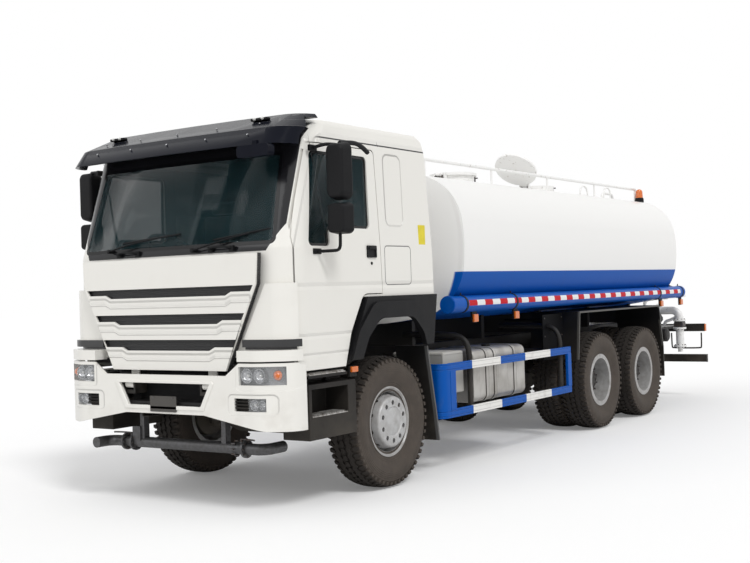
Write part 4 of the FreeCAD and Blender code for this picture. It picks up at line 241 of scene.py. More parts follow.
def made_mesh(shape):
    """The mesh of a worked shape, with its doubles merged and its faces turned outwards."""
    bmesh.ops.remove_doubles(shape, verts=shape.verts, dist=merge_distance)
    bmesh.ops.recalc_face_normals(shape, faces=shape.faces)
    return mesh_of(shape)


def worked(holder):
    """The holder's form after its modifiers, as a plain mesh. The holder is taken away."""
    bpy.context.view_layer.update()
    seen_holder = holder.evaluated_get(bpy.context.evaluated_depsgraph_get())
    mesh = bpy.data.meshes.new_from_object(seen_holder)
    bpy.data.objects.remove(holder)
    return mesh


def smooth(mesh):
    """The mesh with all its faces shaded smooth."""
    for face in mesh.polygons:
        face.use_smooth = True
    return mesh


def rounded(mesh, width, steps=2, angle=32):
    """The mesh with its sharp edges rounded by the given width."""
    holder = placed("holder", smooth(mesh))
    if width:
        edges = holder.modifiers.new("edges", "BEVEL")
        edges.width = width
        edges.segments = steps
        edges.limit_method = "ANGLE"
        edges.angle_limit = math.radians(angle)
        edges.use_clamp_overlap = True
    holder.modifiers.new("flats", "WEIGHTED_NORMAL").weight = 80
    finished = worked(holder)
    if not width:
        finished.set_sharp_from_angle(angle=math.radians(angle))
    return finished


def settle(name, mesh, body, finish, stands_for=()):
    """Puts a finished piece on its body. Its place is already in its mesh."""
    mesh.name = name
    mesh.materials.clear()
    mesh.materials.append(finish)
    made = placed(name, mesh)
    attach(made, body)
    if stands_for:
        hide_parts(*stands_for)
    return made


def cad_copy(node):
    """A worked copy of a CAD node: doubles merged and flat faces joined up."""
    shape = bmesh.new()
    shape.from_mesh(frame["nodes"][node].data)
    bmesh.ops.remove_doubles(shape, verts=shape.verts, dist=merge_distance)
    bmesh.ops.dissolve_limit(shape, angle_limit=math.radians(0.6), verts=shape.verts, edges=shape.edges)
    return mesh_of(shape)


def dressed(node, finish, width=0.004, steps=2, angle=32):
    """The CAD node's own form with its edges rounded, in its finish."""
    body = frame["nodes"][node]["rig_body"]
    return settle(node + "_dressed", rounded(cad_copy(node), width, steps, angle), body, finish, [node])


def dusted(finish, colour, dust_top, share=0.5):
    """The colour with road dust that thins out towards a height."""
    height = finish.place("z")
    low_down = 1 - finish.ramp(height, 0.15, dust_top)
    patches = finish.ramp(finish.noise(3.1, 5.0), 0.35, 0.75)
    return finish.colours(low_down * patches * share + low_down * share * 0.4, colour, ROAD_DUST)


def chassis_finish(name, colour, roughness=0.42, dust_top=1.3):
    """Black chassis paint, worn in patches, with road dust up to a height."""
    finish = Finish(name)
    pores = finish.noise(160.0, 2.0)
    wear = finish.noise(9.0, 4.0)
    return finish.coat_of(dusted(finish, colour, dust_top), roughness + wear * 0.18, pores, 0.0004,
                          specular_ior_level=0.25)


chassis_black = chassis_finish("chassis_black", CHASSIS_BLACK)
for node in ("frame_rails", "frame_crossmembers"):
    dressed(node, chassis_black, 0.003)

# Axles, knuckles, springs, engine, gearbox and shafts: rough castings and spring steel under thin
# black paint, with a film of dust and oil.
CAST_GREY = (0.050, 0.048, 0.046)
cast_finish = Finish("rough_casting")
sand_skin = cast_finish.noise(70.0, 6.0)
casting = cast_finish.coat_of(dusted(cast_finish, CAST_GREY, 1.6, 0.8), 0.62 + sand_skin * 0.2, sand_skin,
                              0.003)
for node in ("front_axle_beam", "rear_axles", "engine_block", "driveline", "knuckle_left", "knuckle_right"):
    dressed(node, casting, 0.008, 3)
dressed("leaf_springs", chassis_black, 0.003)

# Tyres: ten heavy radials with a zigzag rib tread, moulded in brown-black rubber. Each is a turned
# carcass with the tread blocks of one pitch repeated round it; the rear ones stand in pairs.
RUBBER = (0.022, 0.019, 0.017)
TYRE_DUST = (0.125, 0.103, 0.086)
wheel_height = 0.5625
tread_radius = 0.5625
tread_foot = 0.534
tread_pitches = 54
front_axle = -3.320
middle_axle = 1.005
rear_axle = 2.355
both_sides = (("left", 1), ("right", -1))


def node_group(name, inputs):
    """An empty geometry group with the given extra inputs, and its two end nodes."""
    group = bpy.data.node_groups.new(name, "GeometryNodeTree")
    group.interface.new_socket("Geometry", in_out="INPUT", socket_type="NodeSocketGeometry")
    group.interface.new_socket("Geometry", in_out="OUTPUT", socket_type="NodeSocketGeometry")
    for label, kind in inputs:
        group.interface.new_socket(label, in_out="INPUT", socket_type="NodeSocket" + kind)
    return group, group.nodes.new("NodeGroupInput"), group.nodes.new("NodeGroupOutput")


# Repeats a piece: each copy is moved on by the step and turned on by the turn about the centre.
repeat, given, handed = node_group("repeat", [("Count", "Int"), ("Step", "Vector"), ("Turn", "Vector"),
                                              ("Centre", "Vector"), ("Finish", "Material")])
spots = repeat.nodes.new("GeometryNodePoints")
order = repeat.nodes.new("GeometryNodeInputIndex")
shift, spin = [repeat.nodes.new("ShaderNodeVectorMath") for _ in range(2)]
shift.operation = spin.operation = "SCALE"
copies = repeat.nodes.new("GeometryNodeInstanceOnPoints")
turning = repeat.nodes.new("GeometryNodeRotateInstances")
turning.inputs["Local Space"].default_value = False
moving = repeat.nodes.new("GeometryNodeTranslateInstances")
moving.inputs["Local Space"].default_value = False
copy_order = repeat.nodes.new("GeometryNodeInputIndex")
real = repeat.nodes.new("GeometryNodeRealizeInstances")
painted = repeat.nodes.new("GeometryNodeSetMaterial")
for source, target in ((given.outputs["Count"], spots.inputs["Count"]),
                       (spots.outputs[0], copies.inputs["Points"]),
                       (given.outputs["Geometry"], copies.inputs["Instance"]),
                       (given.outputs["Turn"], spin.inputs[0]), (order.outputs[0], spin.inputs["Scale"]),
                       (copies.outputs[0], turning.inputs["Instances"]),
                       (spin.outputs[0], turning.inputs["Rotation"]),
                       (given.outputs["Centre"], turning.inputs["Pivot Point"]),
                       (given.outputs["Step"], shift.inputs[0]),
                       (copy_order.outputs[0], shift.inputs["Scale"]),
                       (turning.outputs[0], moving.inputs["Instances"]),
                       (shift.outputs[0], moving.inputs["Translation"]), (moving.outputs[0], real.inputs[0]),
                       (real.outputs[0], painted.inputs["Geometry"]),
                       (given.outputs["Finish"], painted.inputs["Material"]),
                       (painted.outputs[0], handed.inputs[0])):
    repeat.links.new(source, target)


def repeated(mesh, finish, count, step=(0, 0, 0), turn=(0, 0, 0), centre=(0, 0, 0)):
    """The mesh repeated by the geometry group, as one plain mesh."""
    holder = placed("holder", mesh)
    pattern = holder.modifiers.new("pattern", "NODES")
    pattern.node_group = repeat
    values = {"Count": count, "Step": step, "Turn": turn, "Centre": centre, "Finish": finish}
    for socket in repeat.interface.items_tree:
        if socket.name in values and socket.in_out == "INPUT":
            pattern[socket.identifier] = values[socket.name]
    holder.update_tag()
    return worked(holder)


def walled(shape, first, second):
    """Faces between two closed rows with as many points each."""
    for k in range(len(first)):
        n = (k + 1) % len(first)
        shape.faces.new((first[k], first[n], second[n], second[k]))


def turned_mesh(profile, steps=96, axis="x", centre=(0, 0, 0)):
    """A round mesh from (along, radius) points, turned about an axis through the centre."""
    shape = bmesh.new()
    rings = []
    for i in range(steps):
        angle = math.tau * i / steps
        ring = []
        for along, radius in profile:
            u, v = radius * math.cos(angle), radius * math.sin(angle)
            flat = {"x": (along, u, v), "y": (v, along, u), "z": (u, v, along)}[axis]
            ring.append(shape.verts.new([a + b for a, b in zip(flat, centre)]))
        rings.append(ring)
    for i in range(steps):
        walled(shape, rings[i], rings[(i + 1) % steps])
    return made_mesh(shape)


def joined(*meshes):
    """One mesh from several, whose finish is set later."""
    shape = bmesh.new()
    for mesh in meshes:
        shape.from_mesh(mesh)
    return mesh_of(shape)


def laid(axis, u, v, w):
    """The point (u, v) of a flat outline, at w along the axis that the outline is square to."""
    return {"x": (w, u, v), "y": (u, w, v), "z": (u, v, w)}[axis]


def prism(outline, low, high, axis="z"):
    """A closed block from a flat outline, pushed along an axis between two places."""
    shape = bmesh.new()
    ends = [[shape.verts.new(laid(axis, u, v, w)) for u, v in outline] for w in sorted((low, high))]
    shape.faces.new(ends[0])
    shape.faces.new(ends[1])
    walled(shape, *ends)
    return made_mesh(shape)


def block(across, along, up, axis="z"):
    """A box between three pairs of places in x, y and z, made as a prism along the axis."""
    spans = dict(zip("xyz", (sorted(across), sorted(along), sorted(up))))
    (u0, u1), (v0, v1) = [spans[name] for name in "xyz" if name != axis]
    return prism([(u0, v0), (u1, v0), (u1, v1), (u0, v1)], *spans[axis], axis)


def wrapped(mesh, radius_out, radius_in, middle):
    """A flat tread piece, (across, along, 0 or 1), bent round the wheel's axle at the origin."""
    for vertex in mesh.vertices:
        across, along, top = vertex.co
        fall = 0.022 * min(1, abs(across) / 0.15) ** 3
        radius = (radius_out if top > 0.5 else radius_in) - fall
        angle = along / radius_out
        vertex.co = (across + middle, -radius * math.sin(angle), -radius * math.cos(angle))
    return mesh


tyre_finish = Finish("tyre_rubber")
wheel_place = tyre_finish.add("Attribute", {"attribute_name": "wheel_place"}, None, 1)
from_axle = tyre_finish.add("SeparateXYZ", None, {0: wheel_place}, 2)
flank_dirt = tyre_finish.noise(11.0, 5.0)
fine_pores = tyre_finish.noise(300.0, 2.0)
on_flank = tyre_finish.ramp(from_axle, 0.546, 0.526)
dirt_share = on_flank * (0.26 + flank_dirt * 0.36) + flank_dirt * 0.12
rubber_colour = tyre_finish.colours(dirt_share, RUBBER, TYRE_DUST)
near_shoulder = tyre_finish.ramp(from_axle, 0.425, 0.435) * tyre_finish.ramp(from_axle, 0.512, 0.505)
near_bead = tyre_finish.ramp(from_axle, 0.312, 0.318) * tyre_finish.ramp(from_axle, 0.352, 0.346)
side_rings = abs((from_axle * 62) % 1 - 0.5) * (near_shoulder + near_bead)
tyre_rubber = tyre_finish.coat_of(rubber_colour, 0.70 + flank_dirt * 0.2, fine_pores * 0.25 + side_rings,
                                  0.0045, specular_ior_level=0.25)

tyre_profile = [(-0.106, 0.262), (-0.112, 0.285), (-0.118, 0.318), (-0.130, 0.350), (-0.145, 0.386),
                (-0.154, 0.415), (-0.1572, 0.440), (-0.1560, 0.462), (-0.1515, 0.485), (-0.1480, 0.492),
                (-0.1490, 0.500), (-0.1440, 0.5120), (-0.1330, 0.5240), (-0.1180, 0.5320), (-0.1000, 0.5380),
                (-0.0800, 0.5440), (-0.0400, 0.5460)]
tyre_profile += [(0.0, 0.5470)] + [(-along, radius) for along, radius in reversed(tyre_profile)]
tyre_profile += [(0.100, 0.258), (0.095, 0.300), (-0.095, 0.300), (-0.100, 0.258)]
tread_pitch = math.tau * tread_radius / tread_pitches
lug = [(-0.1525, 0.12), (-0.112, 0.02), (-0.092, 0.24), (-0.094, 0.48), (-0.112, 0.60), (-0.1525, 0.56)]
rib = [(-0.080, 0.0), (-0.036, 0.0), (-0.028, 0.25), (-0.036, 0.5), (-0.046, 0.75), (-0.036, 1.0),
       (-0.080, 1.0), (-0.090, 0.75), (-0.080, 0.5), (-0.071, 0.25)]
centre_rib = [(-0.024, 0.03), (0.010, 0.03), (0.020, 0.28), (0.024, 0.50), (0.012, 0.90), (-0.008, 0.90),
              (-0.019, 0.66), (-0.026, 0.40)]
tread_blocks = []
for outline, sides in ((lug, (1, -1)), (rib, (1, -1)), (centre_rib, (1,))):
    for side in sides:
        drawn = [(across * side, (along + (0.5 if side < 0 else 0)) * tread_pitch) for across,
                 along in outline]
        tread_blocks.append(drawn if side > 0 else drawn[::-1])


def tyre_mesh(middle, axle_y):
    """One tyre about its own axle, then moved to its place. Every point keeps its radius."""
    carcass = turned_mesh([(along + middle, radius) for along, radius in tyre_profile], 108)
    blocks = [repeated(wrapped(prism(outline, 0, 1), tread_radius, tread_foot, middle), tyre_rubber,
                       tread_pitches, turn=(math.tau / tread_pitches, 0, 0)) for outline in tread_blocks]
    whole = joined(smooth(carcass), *blocks)
    place = whole.attributes.new("wheel_place", "FLOAT_VECTOR", "POINT")
    for vertex in whole.vertices:
        place.data[vertex.index].vector = (vertex.co.x, math.atan2(vertex.co.y, vertex.co.z),
                                           math.hypot(vertex.co.y, vertex.co.z))
    for vertex in whole.vertices:
        vertex.co.y += axle_y
        vertex.co.z += wheel_height
    return whole


front_tyre_middle = 1.011
pair = (0.740, 1.090)
tyres = {"front": (front_axle, (front_tyre_middle,)), "middle": (middle_axle, pair),
         "rear": (rear_axle, pair)}
for row, (axle_y, middles) in tyres.items():
    for side, sign in both_sides:
        whole = joined(*[tyre_mesh(middle * sign, axle_y) for middle in middles])
        settle(f"tyre_{row}_{side}_tread", whole, f"wheel_{row}_{side}", tyre_rubber,
               [f"tyre_{row}_{side}"])

# Front rims: a pressed steel disc stands out past the tyre on a pierced cone, and is held by ten nuts that
# sit in pits round a plain hub cap. Silver paint with patches of dust, and painted shade that darkens it
# towards the barrel.
RIM_SILVER = (0.50, 0.50, 0.50)
RIM_DIRT_AND_SHADE = (0.16, 0.135, 0.11)
wheel_nuts = 10
cone_holes = 10


def cut_by(mesh, *cutters):
    """The mesh with the cutters' shapes taken out of it."""
    holder = placed("holder", mesh)
    tools = [placed("cutter", cutter) for cutter in cutters]
    for tool in tools:
        taking = holder.modifiers.new("taking", "BOOLEAN")
        taking.object = tool
        taking.solver = "EXACT"
    finished = worked(holder)
    for tool in tools:
        bpy.data.objects.remove(tool)
    return finished


def on_side(line, sign):
    """The left side's points, or their mirror images where the sign is -1."""
    return [(point[0] * sign, *point[1:]) for point in line]


def round_bar(start, end, radius, sides=16, end_radius=None):
    """A closed round bar between two points."""
    start, end = Vector(start), Vector(end)
    shape = bmesh.new()
    lie = (end - start).to_track_quat("Z", "Y").to_matrix().to_4x4()
    place = Matrix.Translation((start + end) / 2) @ lie
    bmesh.ops.create_cone(shape, cap_ends=True, segments=sides, radius1=radius,
                          radius2=radius if end_radius is None else end_radius, depth=(end - start).length,
                          matrix=place)
    return made_mesh(shape)


def rim_finish(name, axle_y, hub_radius):
    """Silver paint with patches of dirt, painted shade that darkens it towards the barrel, and dark cast
    metal inside the hub's radius.
    """
    finish = Finish(name)
    y, z = finish.place("y") - axle_y, finish.place("z") - wheel_height
    reach = finish.sum("SQRT", y * y + z * z, 0)
    blotches = finish.noise(16.0, 5.0)
    # Blotches of dirt, plus painted shade: the paint darkens towards the barrel by its distance from the
    # axle.
    darkening = finish.ramp(blotches, 0.40, 0.75) * 0.35 + finish.ramp(reach, 0.19, 0.27) * 0.22
    hub = finish.ramp(reach, hub_radius + 0.003, hub_radius)
    paint = finish.colours(darkening, RIM_SILVER, RIM_DIRT_AND_SHADE)
    paint = finish.colours(hub, paint, (0.035, 0.032, 0.030))
    return finish.coat_of(paint, 0.38 + blotches * 0.22, finish.noise(220.0, 2.0), 0.0003, metallic=0.35)


def wheel_bar(axle_y, start, end, up, radius, sides=16, end_up=None):
    """A round bar beside an axle and along it. Its height above the axle may change on the way."""
    end_up = up if end_up is None else end_up
    return round_bar((start, axle_y, wheel_height + up), (end, axle_y, wheel_height + end_up), radius, sides)


def round_axle(axle_y, mesh, count, finish=None):
    """The mesh repeated in a ring about an axle."""
    return repeated(mesh, finish, count, turn=(math.tau / count, 0, 0), centre=(0, axle_y, wheel_height))


front_rim_silver = rim_finish("front_rim_silver", front_axle, 0.0)
nut_finish = Finish("nut_steel")
nut_rust = nut_finish.ramp(nut_finish.noise(60.0, 4.0), 0.45, 0.7)
nut_colour = nut_finish.colours(nut_rust, (0.10, 0.10, 0.105), (0.11, 0.07, 0.045))
nut_steel = nut_finish.coat_of(nut_colour, 0.45 + nut_rust * 0.3, nut_rust, 0.0006, metallic=0.6)

front_rim_line = [(0.1195, 0.288), (0.1195, 0.300), (0.106, 0.300), (0.104, 0.272), (0.085, 0.266),
                  (0.020, 0.260), (-0.020, 0.256), (-0.106, 0.266), (-0.108, 0.300), (-0.1195, 0.300),
                  (-0.1195, 0.285), (-0.112, 0.258), (-0.040, 0.246), (-0.010, 0.240), (0.020, 0.232),
                  (0.060, 0.222), (0.120, 0.206), (0.140, 0.196), (0.146, 0.180), (0.146, 0.075),
                  (0.146, 0.002), (0.160, 0.002), (0.159, 0.050), (0.1555, 0.090), (0.1490, 0.112),
                  (0.1480, 0.120), (0.1520, 0.127), (0.1560, 0.131), (0.1560, 0.196), (0.1535, 0.208),
                  (0.1460, 0.216), (0.1320, 0.221), (0.0600, 0.236), (0.0260, 0.243), (0.0240, 0.249),
                  (0.0500, 0.253), (0.0980, 0.256), (0.1060, 0.262), (0.1090, 0.276), (0.1150, 0.285)]
front_hub_line = [(0.940, 0.118), (1.120, 0.118), (1.120, 0.047), (0.940, 0.047)]
drum_line = [(0.925, 0.205), (1.035, 0.205), (1.050, 0.180), (1.050, 0.110), (0.925, 0.110)]
front_nut_circle = 0.1625
front_centre = (0, front_axle, wheel_height)
for side, sign in both_sides:
    middle = front_tyre_middle * sign
    outline = [(along * sign + middle, radius) for along, radius in front_rim_line]
    rim_mesh = turned_mesh(outline, 96, "x", front_centre)
    pit = wheel_bar(front_axle, middle + 0.130 * sign, middle + 0.180 * sign, front_nut_circle, 0.0205)
    vent = wheel_bar(front_axle, middle + 0.066 * sign, middle + 0.080 * sign, 0.200, 0.020, 20, 0.2485)
    rim_mesh = cut_by(rim_mesh, round_axle(front_axle, pit, wheel_nuts),
                      round_axle(front_axle, vent, cone_holes))
    settle(f"rim_front_{side}_disc", rounded(rim_mesh, 0.0022, 2, 34), f"wheel_front_{side}",
           front_rim_silver, [f"rim_front_{side}"])
    nut = wheel_bar(front_axle, middle + 0.128 * sign, middle + 0.150 * sign, front_nut_circle, 0.0150, 6)
    stud = wheel_bar(front_axle, middle + 0.140 * sign, middle + 0.155 * sign, front_nut_circle, 0.0080, 12)
    nut_and_stud = joined(rounded(nut, 0.002, 1), rounded(stud, 0.0015, 1))
    nuts = round_axle(front_axle, nut_and_stud, wheel_nuts, nut_steel)
    hub_parts = []
    for line in (front_hub_line, drum_line):
        hub_parts.append(turned_mesh(on_side(line, sign), 48, "x", front_centre))
    settle(f"front_nuts_{side}", nuts, f"wheel_front_{side}", nut_steel)
    settle(f"front_hub_{side}", rounded(joined(*hub_parts), 0.004), f"wheel_front_{side}",
           casting)

# Rear rims: a pair of wide base rims bolted back to back on each hub, so that the outer one is a
# deep dish. Silver paint, with a black cast hub whose end cap has a ring of small screws.
hub_line = [(0.900, 0.001), (0.900, 0.150), (1.020, 0.160), (1.032, 0.172), (1.052, 0.172), (1.056, 0.166),
            (1.056, 0.118), (1.070, 0.112), (1.100, 0.107), (1.110, 0.094), (1.112, 0.001)]
rear_nut_circle = 0.1425
cap_screw_circle = 0.076
for row, axle_y in (("middle", middle_axle), ("rear", rear_axle)):
    # The rims' paint is darkened towards the barrel by painted shade.
    dish_silver = rim_finish(f"{row}_rim_silver", axle_y, 0.121)
    for side, sign in both_sides:
        dressed(f"rim_{row}_{side}", dish_silver, 0.004)
        face = 1.052 * sign
        hub = turned_mesh(on_side(hub_line, sign), 60, "x", (0, axle_y, wheel_height))
        settle(f"{row}_hub_{side}", rounded(hub, 0.003, 2, 30), f"wheel_{row}_{side}",
               dish_silver)
        nut = wheel_bar(axle_y, face, face + 0.034 * sign, rear_nut_circle, 0.0165, 6)
        stud = wheel_bar(axle_y, face, face + 0.052 * sign, rear_nut_circle, 0.0105, 12)
        nut_and_stud = joined(rounded(nut, 0.0025, 1), rounded(stud, 0.002, 1))
        nuts = round_axle(axle_y, nut_and_stud, wheel_nuts, nut_steel)
        cap_screw = wheel_bar(axle_y, 1.106 * sign, 1.120 * sign, cap_screw_circle, 0.0085, 6)
        cap_screws = round_axle(axle_y, rounded(cap_screw, 0.001, 1), 8, nut_steel)
        settle(f"{row}_nuts_{side}", joined(nuts, cap_screws), f"wheel_{row}_{side}", nut_steel)

# Cab shell and doors: welded steel pressings in one warm white coat, with pressed creases along
# the sides, a sleeper recess and a locker hatch behind each door, and grey trim inside.
CAB_WHITE = (0.80, 0.785, 0.74)
SEAM_DARK = (0.020, 0.020, 0.022)
TRIM_GREY = (0.050, 0.052, 0.055)
CAB_DIRT = (0.42, 0.38, 0.32)


def panel_edge(finish, across, up, centre, half, corner):
    """How far a point lies outside a rounded rectangle. It is negative inside."""
    far_across = finish.sum("MAXIMUM", abs(across - centre[0]) - (half[0] - corner), 0)
    far_up = finish.sum("MAXIMUM", abs(up - centre[1]) - (half[1] - corner), 0)
    return finish.sum("SQRT", far_across * far_across + far_up * far_up, 0) - corner


def line_at(finish, value, width, soft=0.001):
    """1 within half the width of where the value is zero, and 0 further away."""
    return finish.ramp(abs(value), width / 2 + soft, width / 2)


def cab_paint(name):
    """The cab's paint with its pressings. It is used for the shell and both doors."""
    finish = Finish(name)
    x, y, z = finish.place("x"), finish.place("y"), finish.place("z")
    side = finish.ramp(abs(x), 1.165, 1.175)
    past_curve = finish.sum("MAXIMUM", abs(x) - 0.98, 0)
    leaning_back = finish.sum("MAXIMUM", -4.76, (z - 2.07) * 0.357 - 4.748)
    front_face = leaning_back + x * x * 0.036 + past_curve * past_curve * 2.2
    depth = y - front_face
    inside = finish.ramp(abs(x), 1.150, 1.142) * finish.ramp(z, 3.045, 3.035) * finish.ramp(z, 1.10, 1.14)
    inside = inside * finish.ramp(depth, 0.030, 0.036) * finish.ramp(y, -2.7165, -2.7190)
    upper_edge = finish.sum("MINIMUM", finish.ramp(abs(x), 1.120, 1.112) + finish.ramp(z, 2.900, 2.890), 1)
    inside = inside * upper_edge * finish.ramp(abs(x) * 2.6 + z, 5.86, 5.84)
    slope = finish.sum("MINIMUM", 1.112, (z - 2.02) * 0.62 + 0.985)
    surround = finish.ramp(slope - abs(x), -0.001, 0.002) * finish.ramp(z, 2.018, 2.022)
    surround = surround * finish.ramp(depth, 0.034, 0.030)
    hatch = panel_edge(finish, y, z, (-3.226, 1.898), (0.202, 0.164), 0.035)
    recess = panel_edge(finish, y, z, (-3.252, 2.540), (0.131, 0.300), 0.060)
    upright_joint = line_at(finish, y + 3.447, 0.006) * finish.ramp(z, 2.900, 2.905)
    gutter = line_at(finish, z - 2.912, 0.012) + upright_joint
    seam = finish.sum("MINIMUM", side * (line_at(finish, hatch, 0.005) + gutter), 1)
    darkening = finish.ramp(finish.noise(2.6, 6.0), 0.5, 0.8) * finish.ramp(z, 1.9, 1.1) * 0.16
    paint = finish.colours(darkening, CAB_WHITE, CAB_DIRT)
    paint = finish.colours(seam, paint, SEAM_DARK)
    paint = finish.colours(surround, paint, (0.010, 0.010, 0.012))
    paint = finish.colours(inside, paint, TRIM_GREY)
    pressed = side * (finish.ramp(recess, -0.004, 0.012) * 3 + finish.ramp(hatch, 0.0, 0.008) * 0.8)
    for height, width in ((1.735, 0.030), (1.350, 0.024), (1.205, 0.018)):
        pressed = pressed - side * finish.ramp(abs(z - height), width, 0.0) * 1.4
    orange_peel = finish.noise(90.0, 2.0) * 0.02
    grain = inside * finish.noise(420.0, 2.0) * 0.08
    return finish.coat_of(paint, 0.30 + inside * 0.35 - surround * 0.12, pressed + orange_peel + grain, 0.006,
                          specular_ior_level=0.42)


cab_white = cab_paint("cab_white")
for node in ("cab_shell", "door_left", "door_right"):
    dressed(node, cab_white, 0.006, 3)

# Warning plates: a bare plate of sheet metal, painted yellow and a little faded, is fixed flat to
# each side of the cab behind the door.
plate_yellow = Finish("plate_yellow")
worn = plate_yellow.noise(20.0, 5.0)
faded = plate_yellow.colours(plate_yellow.ramp(worn, 0.4, 0.8) * 0.4, (0.74, 0.62, 0.015), (0.50, 0.40, 0.03))
yellow_plate = plate_yellow.coat_of(faded, 0.40 + worn * 0.15, worn, 0.0002)
plates = []
for sign in (1, -1):
    plate = block((1.1985 * sign, 1.2035 * sign), (-2.880, -2.770), (2.080, 2.255), "x")
    plates.append(rounded(plate, 0.001, 1))
settle("warning_plates", joined(*plates), "cab", yellow_plate)

# Door handles and locks: a black moulded cup with a pull bar, and a small round lock under it,
# screwed through each door skin near its rear edge.
plastic = Finish("black_plastic")
leather_grain = plastic.noise(520.0, 3.0)
plastic_wear = plastic.noise(7.0, 4.0)
black_plastic = plastic.coat_of(dusted(plastic, (0.008, 0.008, 0.009), 1.2, 0.5), 0.40 + plastic_wear * 0.2,
                                leather_grain, 0.0005, specular_ior_level=0.15)
cup_line = [(-3.690, 1.962), (-3.566, 1.962), (-3.560, 1.968), (-3.560, 2.056), (-3.566, 2.062),
            (-3.690, 2.062), (-3.696, 2.056), (-3.696, 1.968)]
for side, sign in both_sides:
    face = 1.2055 * sign
    cup = prism(cup_line, face - 0.004 * sign, face + 0.012 * sign, "x")
    hollow = block((face + 0.004 * sign, face + 0.03 * sign), (-3.680, -3.576), (1.972, 2.028), "x")
    pull = block((face + 0.008 * sign, face + 0.018 * sign), (-3.676, -3.580), (2.030, 2.050), "x")
    lock = round_bar((face - 0.004 * sign, -3.628, 1.915), (face + 0.006 * sign, -3.628, 1.915), 0.013, 20)
    settle(f"door_handle_{side}", rounded(joined(cut_by(cup, hollow), pull, lock), 0.0025, 2), f"door_{side}",
           black_plastic)

# Glazing: tinted laminated glass, bonded into black surrounds. The band round each pane is baked on
# black, with the clear part inside it.
GLASS_TINT = (0.010, 0.028, 0.033)
glazing = Finish("tinted_glass")
smears = glazing.noise(1.7, 5.0)
tinted_glass = glazing.coat_of(glazing.colours(smears, GLASS_TINT, (0.015, 0.036, 0.041)),
                               0.035 + smears * 0.03, None, alpha=0.52, ior=1.5, specular_ior_level=0.26)
band = Finish("black_band")
band_black = band.coat_of((0.005, 0.005, 0.006), 0.16 + band.noise(40.0, 3.0) * 0.06, band.noise(900.0, 1.0),
                          0.0001, specular_ior_level=0.3)


def edge_band(node, facing, width, stand):
    """A thin band along the edge of a pane's outer face."""
    shape = bmesh.new()
    shape.from_mesh(cad_copy(node))
    shape.normal_update()
    facing = Vector(facing)
    others = [face for face in shape.faces if face.normal.dot(facing) < 0.45]
    bmesh.ops.delete(shape, geom=others, context="FACES")
    inner = bmesh.ops.inset_region(shape, faces=shape.faces[:], thickness=width, use_even_offset=True,
                                   use_boundary=True)
    ring = set(inner["faces"])
    bmesh.ops.delete(shape, geom=[face for face in shape.faces if face not in ring], context="FACES")
    for vertex in shape.verts:
        vertex.co += facing * stand
    return mesh_of(shape)


for node, facing, width, body in (("windscreen", (0, -0.94, 0.33), 0.030, "cab"),
                                  ("door_glass_left", (1, 0, 0), 0.022, "door_left"),
                                  ("door_glass_right", (-1, 0, 0), 0.022, "door_right")):
    dressed(node, tinted_glass, 0.0)
    settle(node + "_band", edge_band(node, facing, width, 0.0012), body, band_black)

# Front flap: one moulded panel with three grille slots, hinged above. The slots are backed with
# black mesh, and each bar under a slot has a pressed channel that steps down in the middle.


def soiled_white(finish, share):
    """The cab's white with a thin film of road dirt in patches."""
    return finish.colours(finish.ramp(finish.noise(2.6, 6.0), 0.55, 0.8) * share, CAB_WHITE, CAB_DIRT)


flap = Finish("flap_white")
flap_x, flap_y, flap_z = flap.place("x"), flap.place("y"), flap.place("z")
channels = 0
for slot_low, slot_half in ((1.714, 0.894), (1.495, 0.798), (1.285, 0.712)):
    step_down = flap.ramp(abs(flap_x), slot_half - 0.196, slot_half - 0.254)
    middle_line = flap_z - (slot_low - 0.046) + step_down * 0.026
    within = flap.ramp(abs(flap_x), slot_half + 0.005, slot_half - 0.010)
    trough = flap.ramp(abs(middle_line), 0.026, 0.008) * within
    low_lip = flap.ramp(abs(middle_line + 0.034), 0.010, 0.0) * within
    channels = low_lip * 0.8 - trough * 1.6 + channels
behind = flap.ramp(flap_y, -4.808, -4.800)
slats = abs((flap_z * 78) % 1 - 0.5) * 2
mesh_dark = flap.colours(slats * 0.6, (0.006, 0.006, 0.007), (0.030, 0.030, 0.032))
flap_paint = flap.colours(behind, soiled_white(flap, 0.08), mesh_dark)
flap_relief = channels + slats * behind * 0.5 + flap.noise(90.0, 2.0) * 0.02
flap_white = flap.coat_of(flap_paint, 0.30 + behind * 0.2, flap_relief, 0.009, coat_weight=0.35,
                          coat_roughness=0.08)
dressed("front_panel", flap_white, 0.007, 3)

# Corner panels: white moulded skins that close the cab's front corners beside the flap, screwed to
# its pillars, with a black strip let in above each foot.
corner = Finish("corner_white")
corner_z = corner.place("z")
strip = corner.ramp(corner_z, 1.263, 1.266) * corner.ramp(corner_z, 1.344, 1.341)
corner_paint = corner.colours(strip, soiled_white(corner, 0.10), (0.012, 0.012, 0.013))
corner_white = corner.coat_of(corner_paint, 0.31 + strip * 0.1, corner.noise(90.0, 2.0), 0.0002,
                              coat_weight=0.35, coat_roughness=0.08)
dressed("corner_panels", corner_white, 0.005, 3)

# Bumper: a thick white shell. A raised lip runs round the intake, and a black screen behind it carries two
# tow sockets. A bare dark plate is bolted on below. The walls of the shell's openings are painted dark grey
# as painted shade. A black sheet and a black shelf in the gap under the flap are painted shade too.
bumper_paint = Finish("bumper_white")
bumper_x, bumper_y, bumper_z = bumper_paint.place("x"), bumper_paint.place("y"), bumper_paint.place("z")
ramp_line = panel_edge(bumper_paint, abs(bumper_x), bumper_z, (1.010, 1.070), (0.232, 0.102), 0.030)
fog_line = panel_edge(bumper_paint, abs(bumper_x), bumper_z, (0.906, 0.850), (0.212, 0.072), 0.035)
frames = bumper_paint.ramp(ramp_line, 0.0, 0.014) + bumper_paint.ramp(fog_line, 0.0, 0.012)
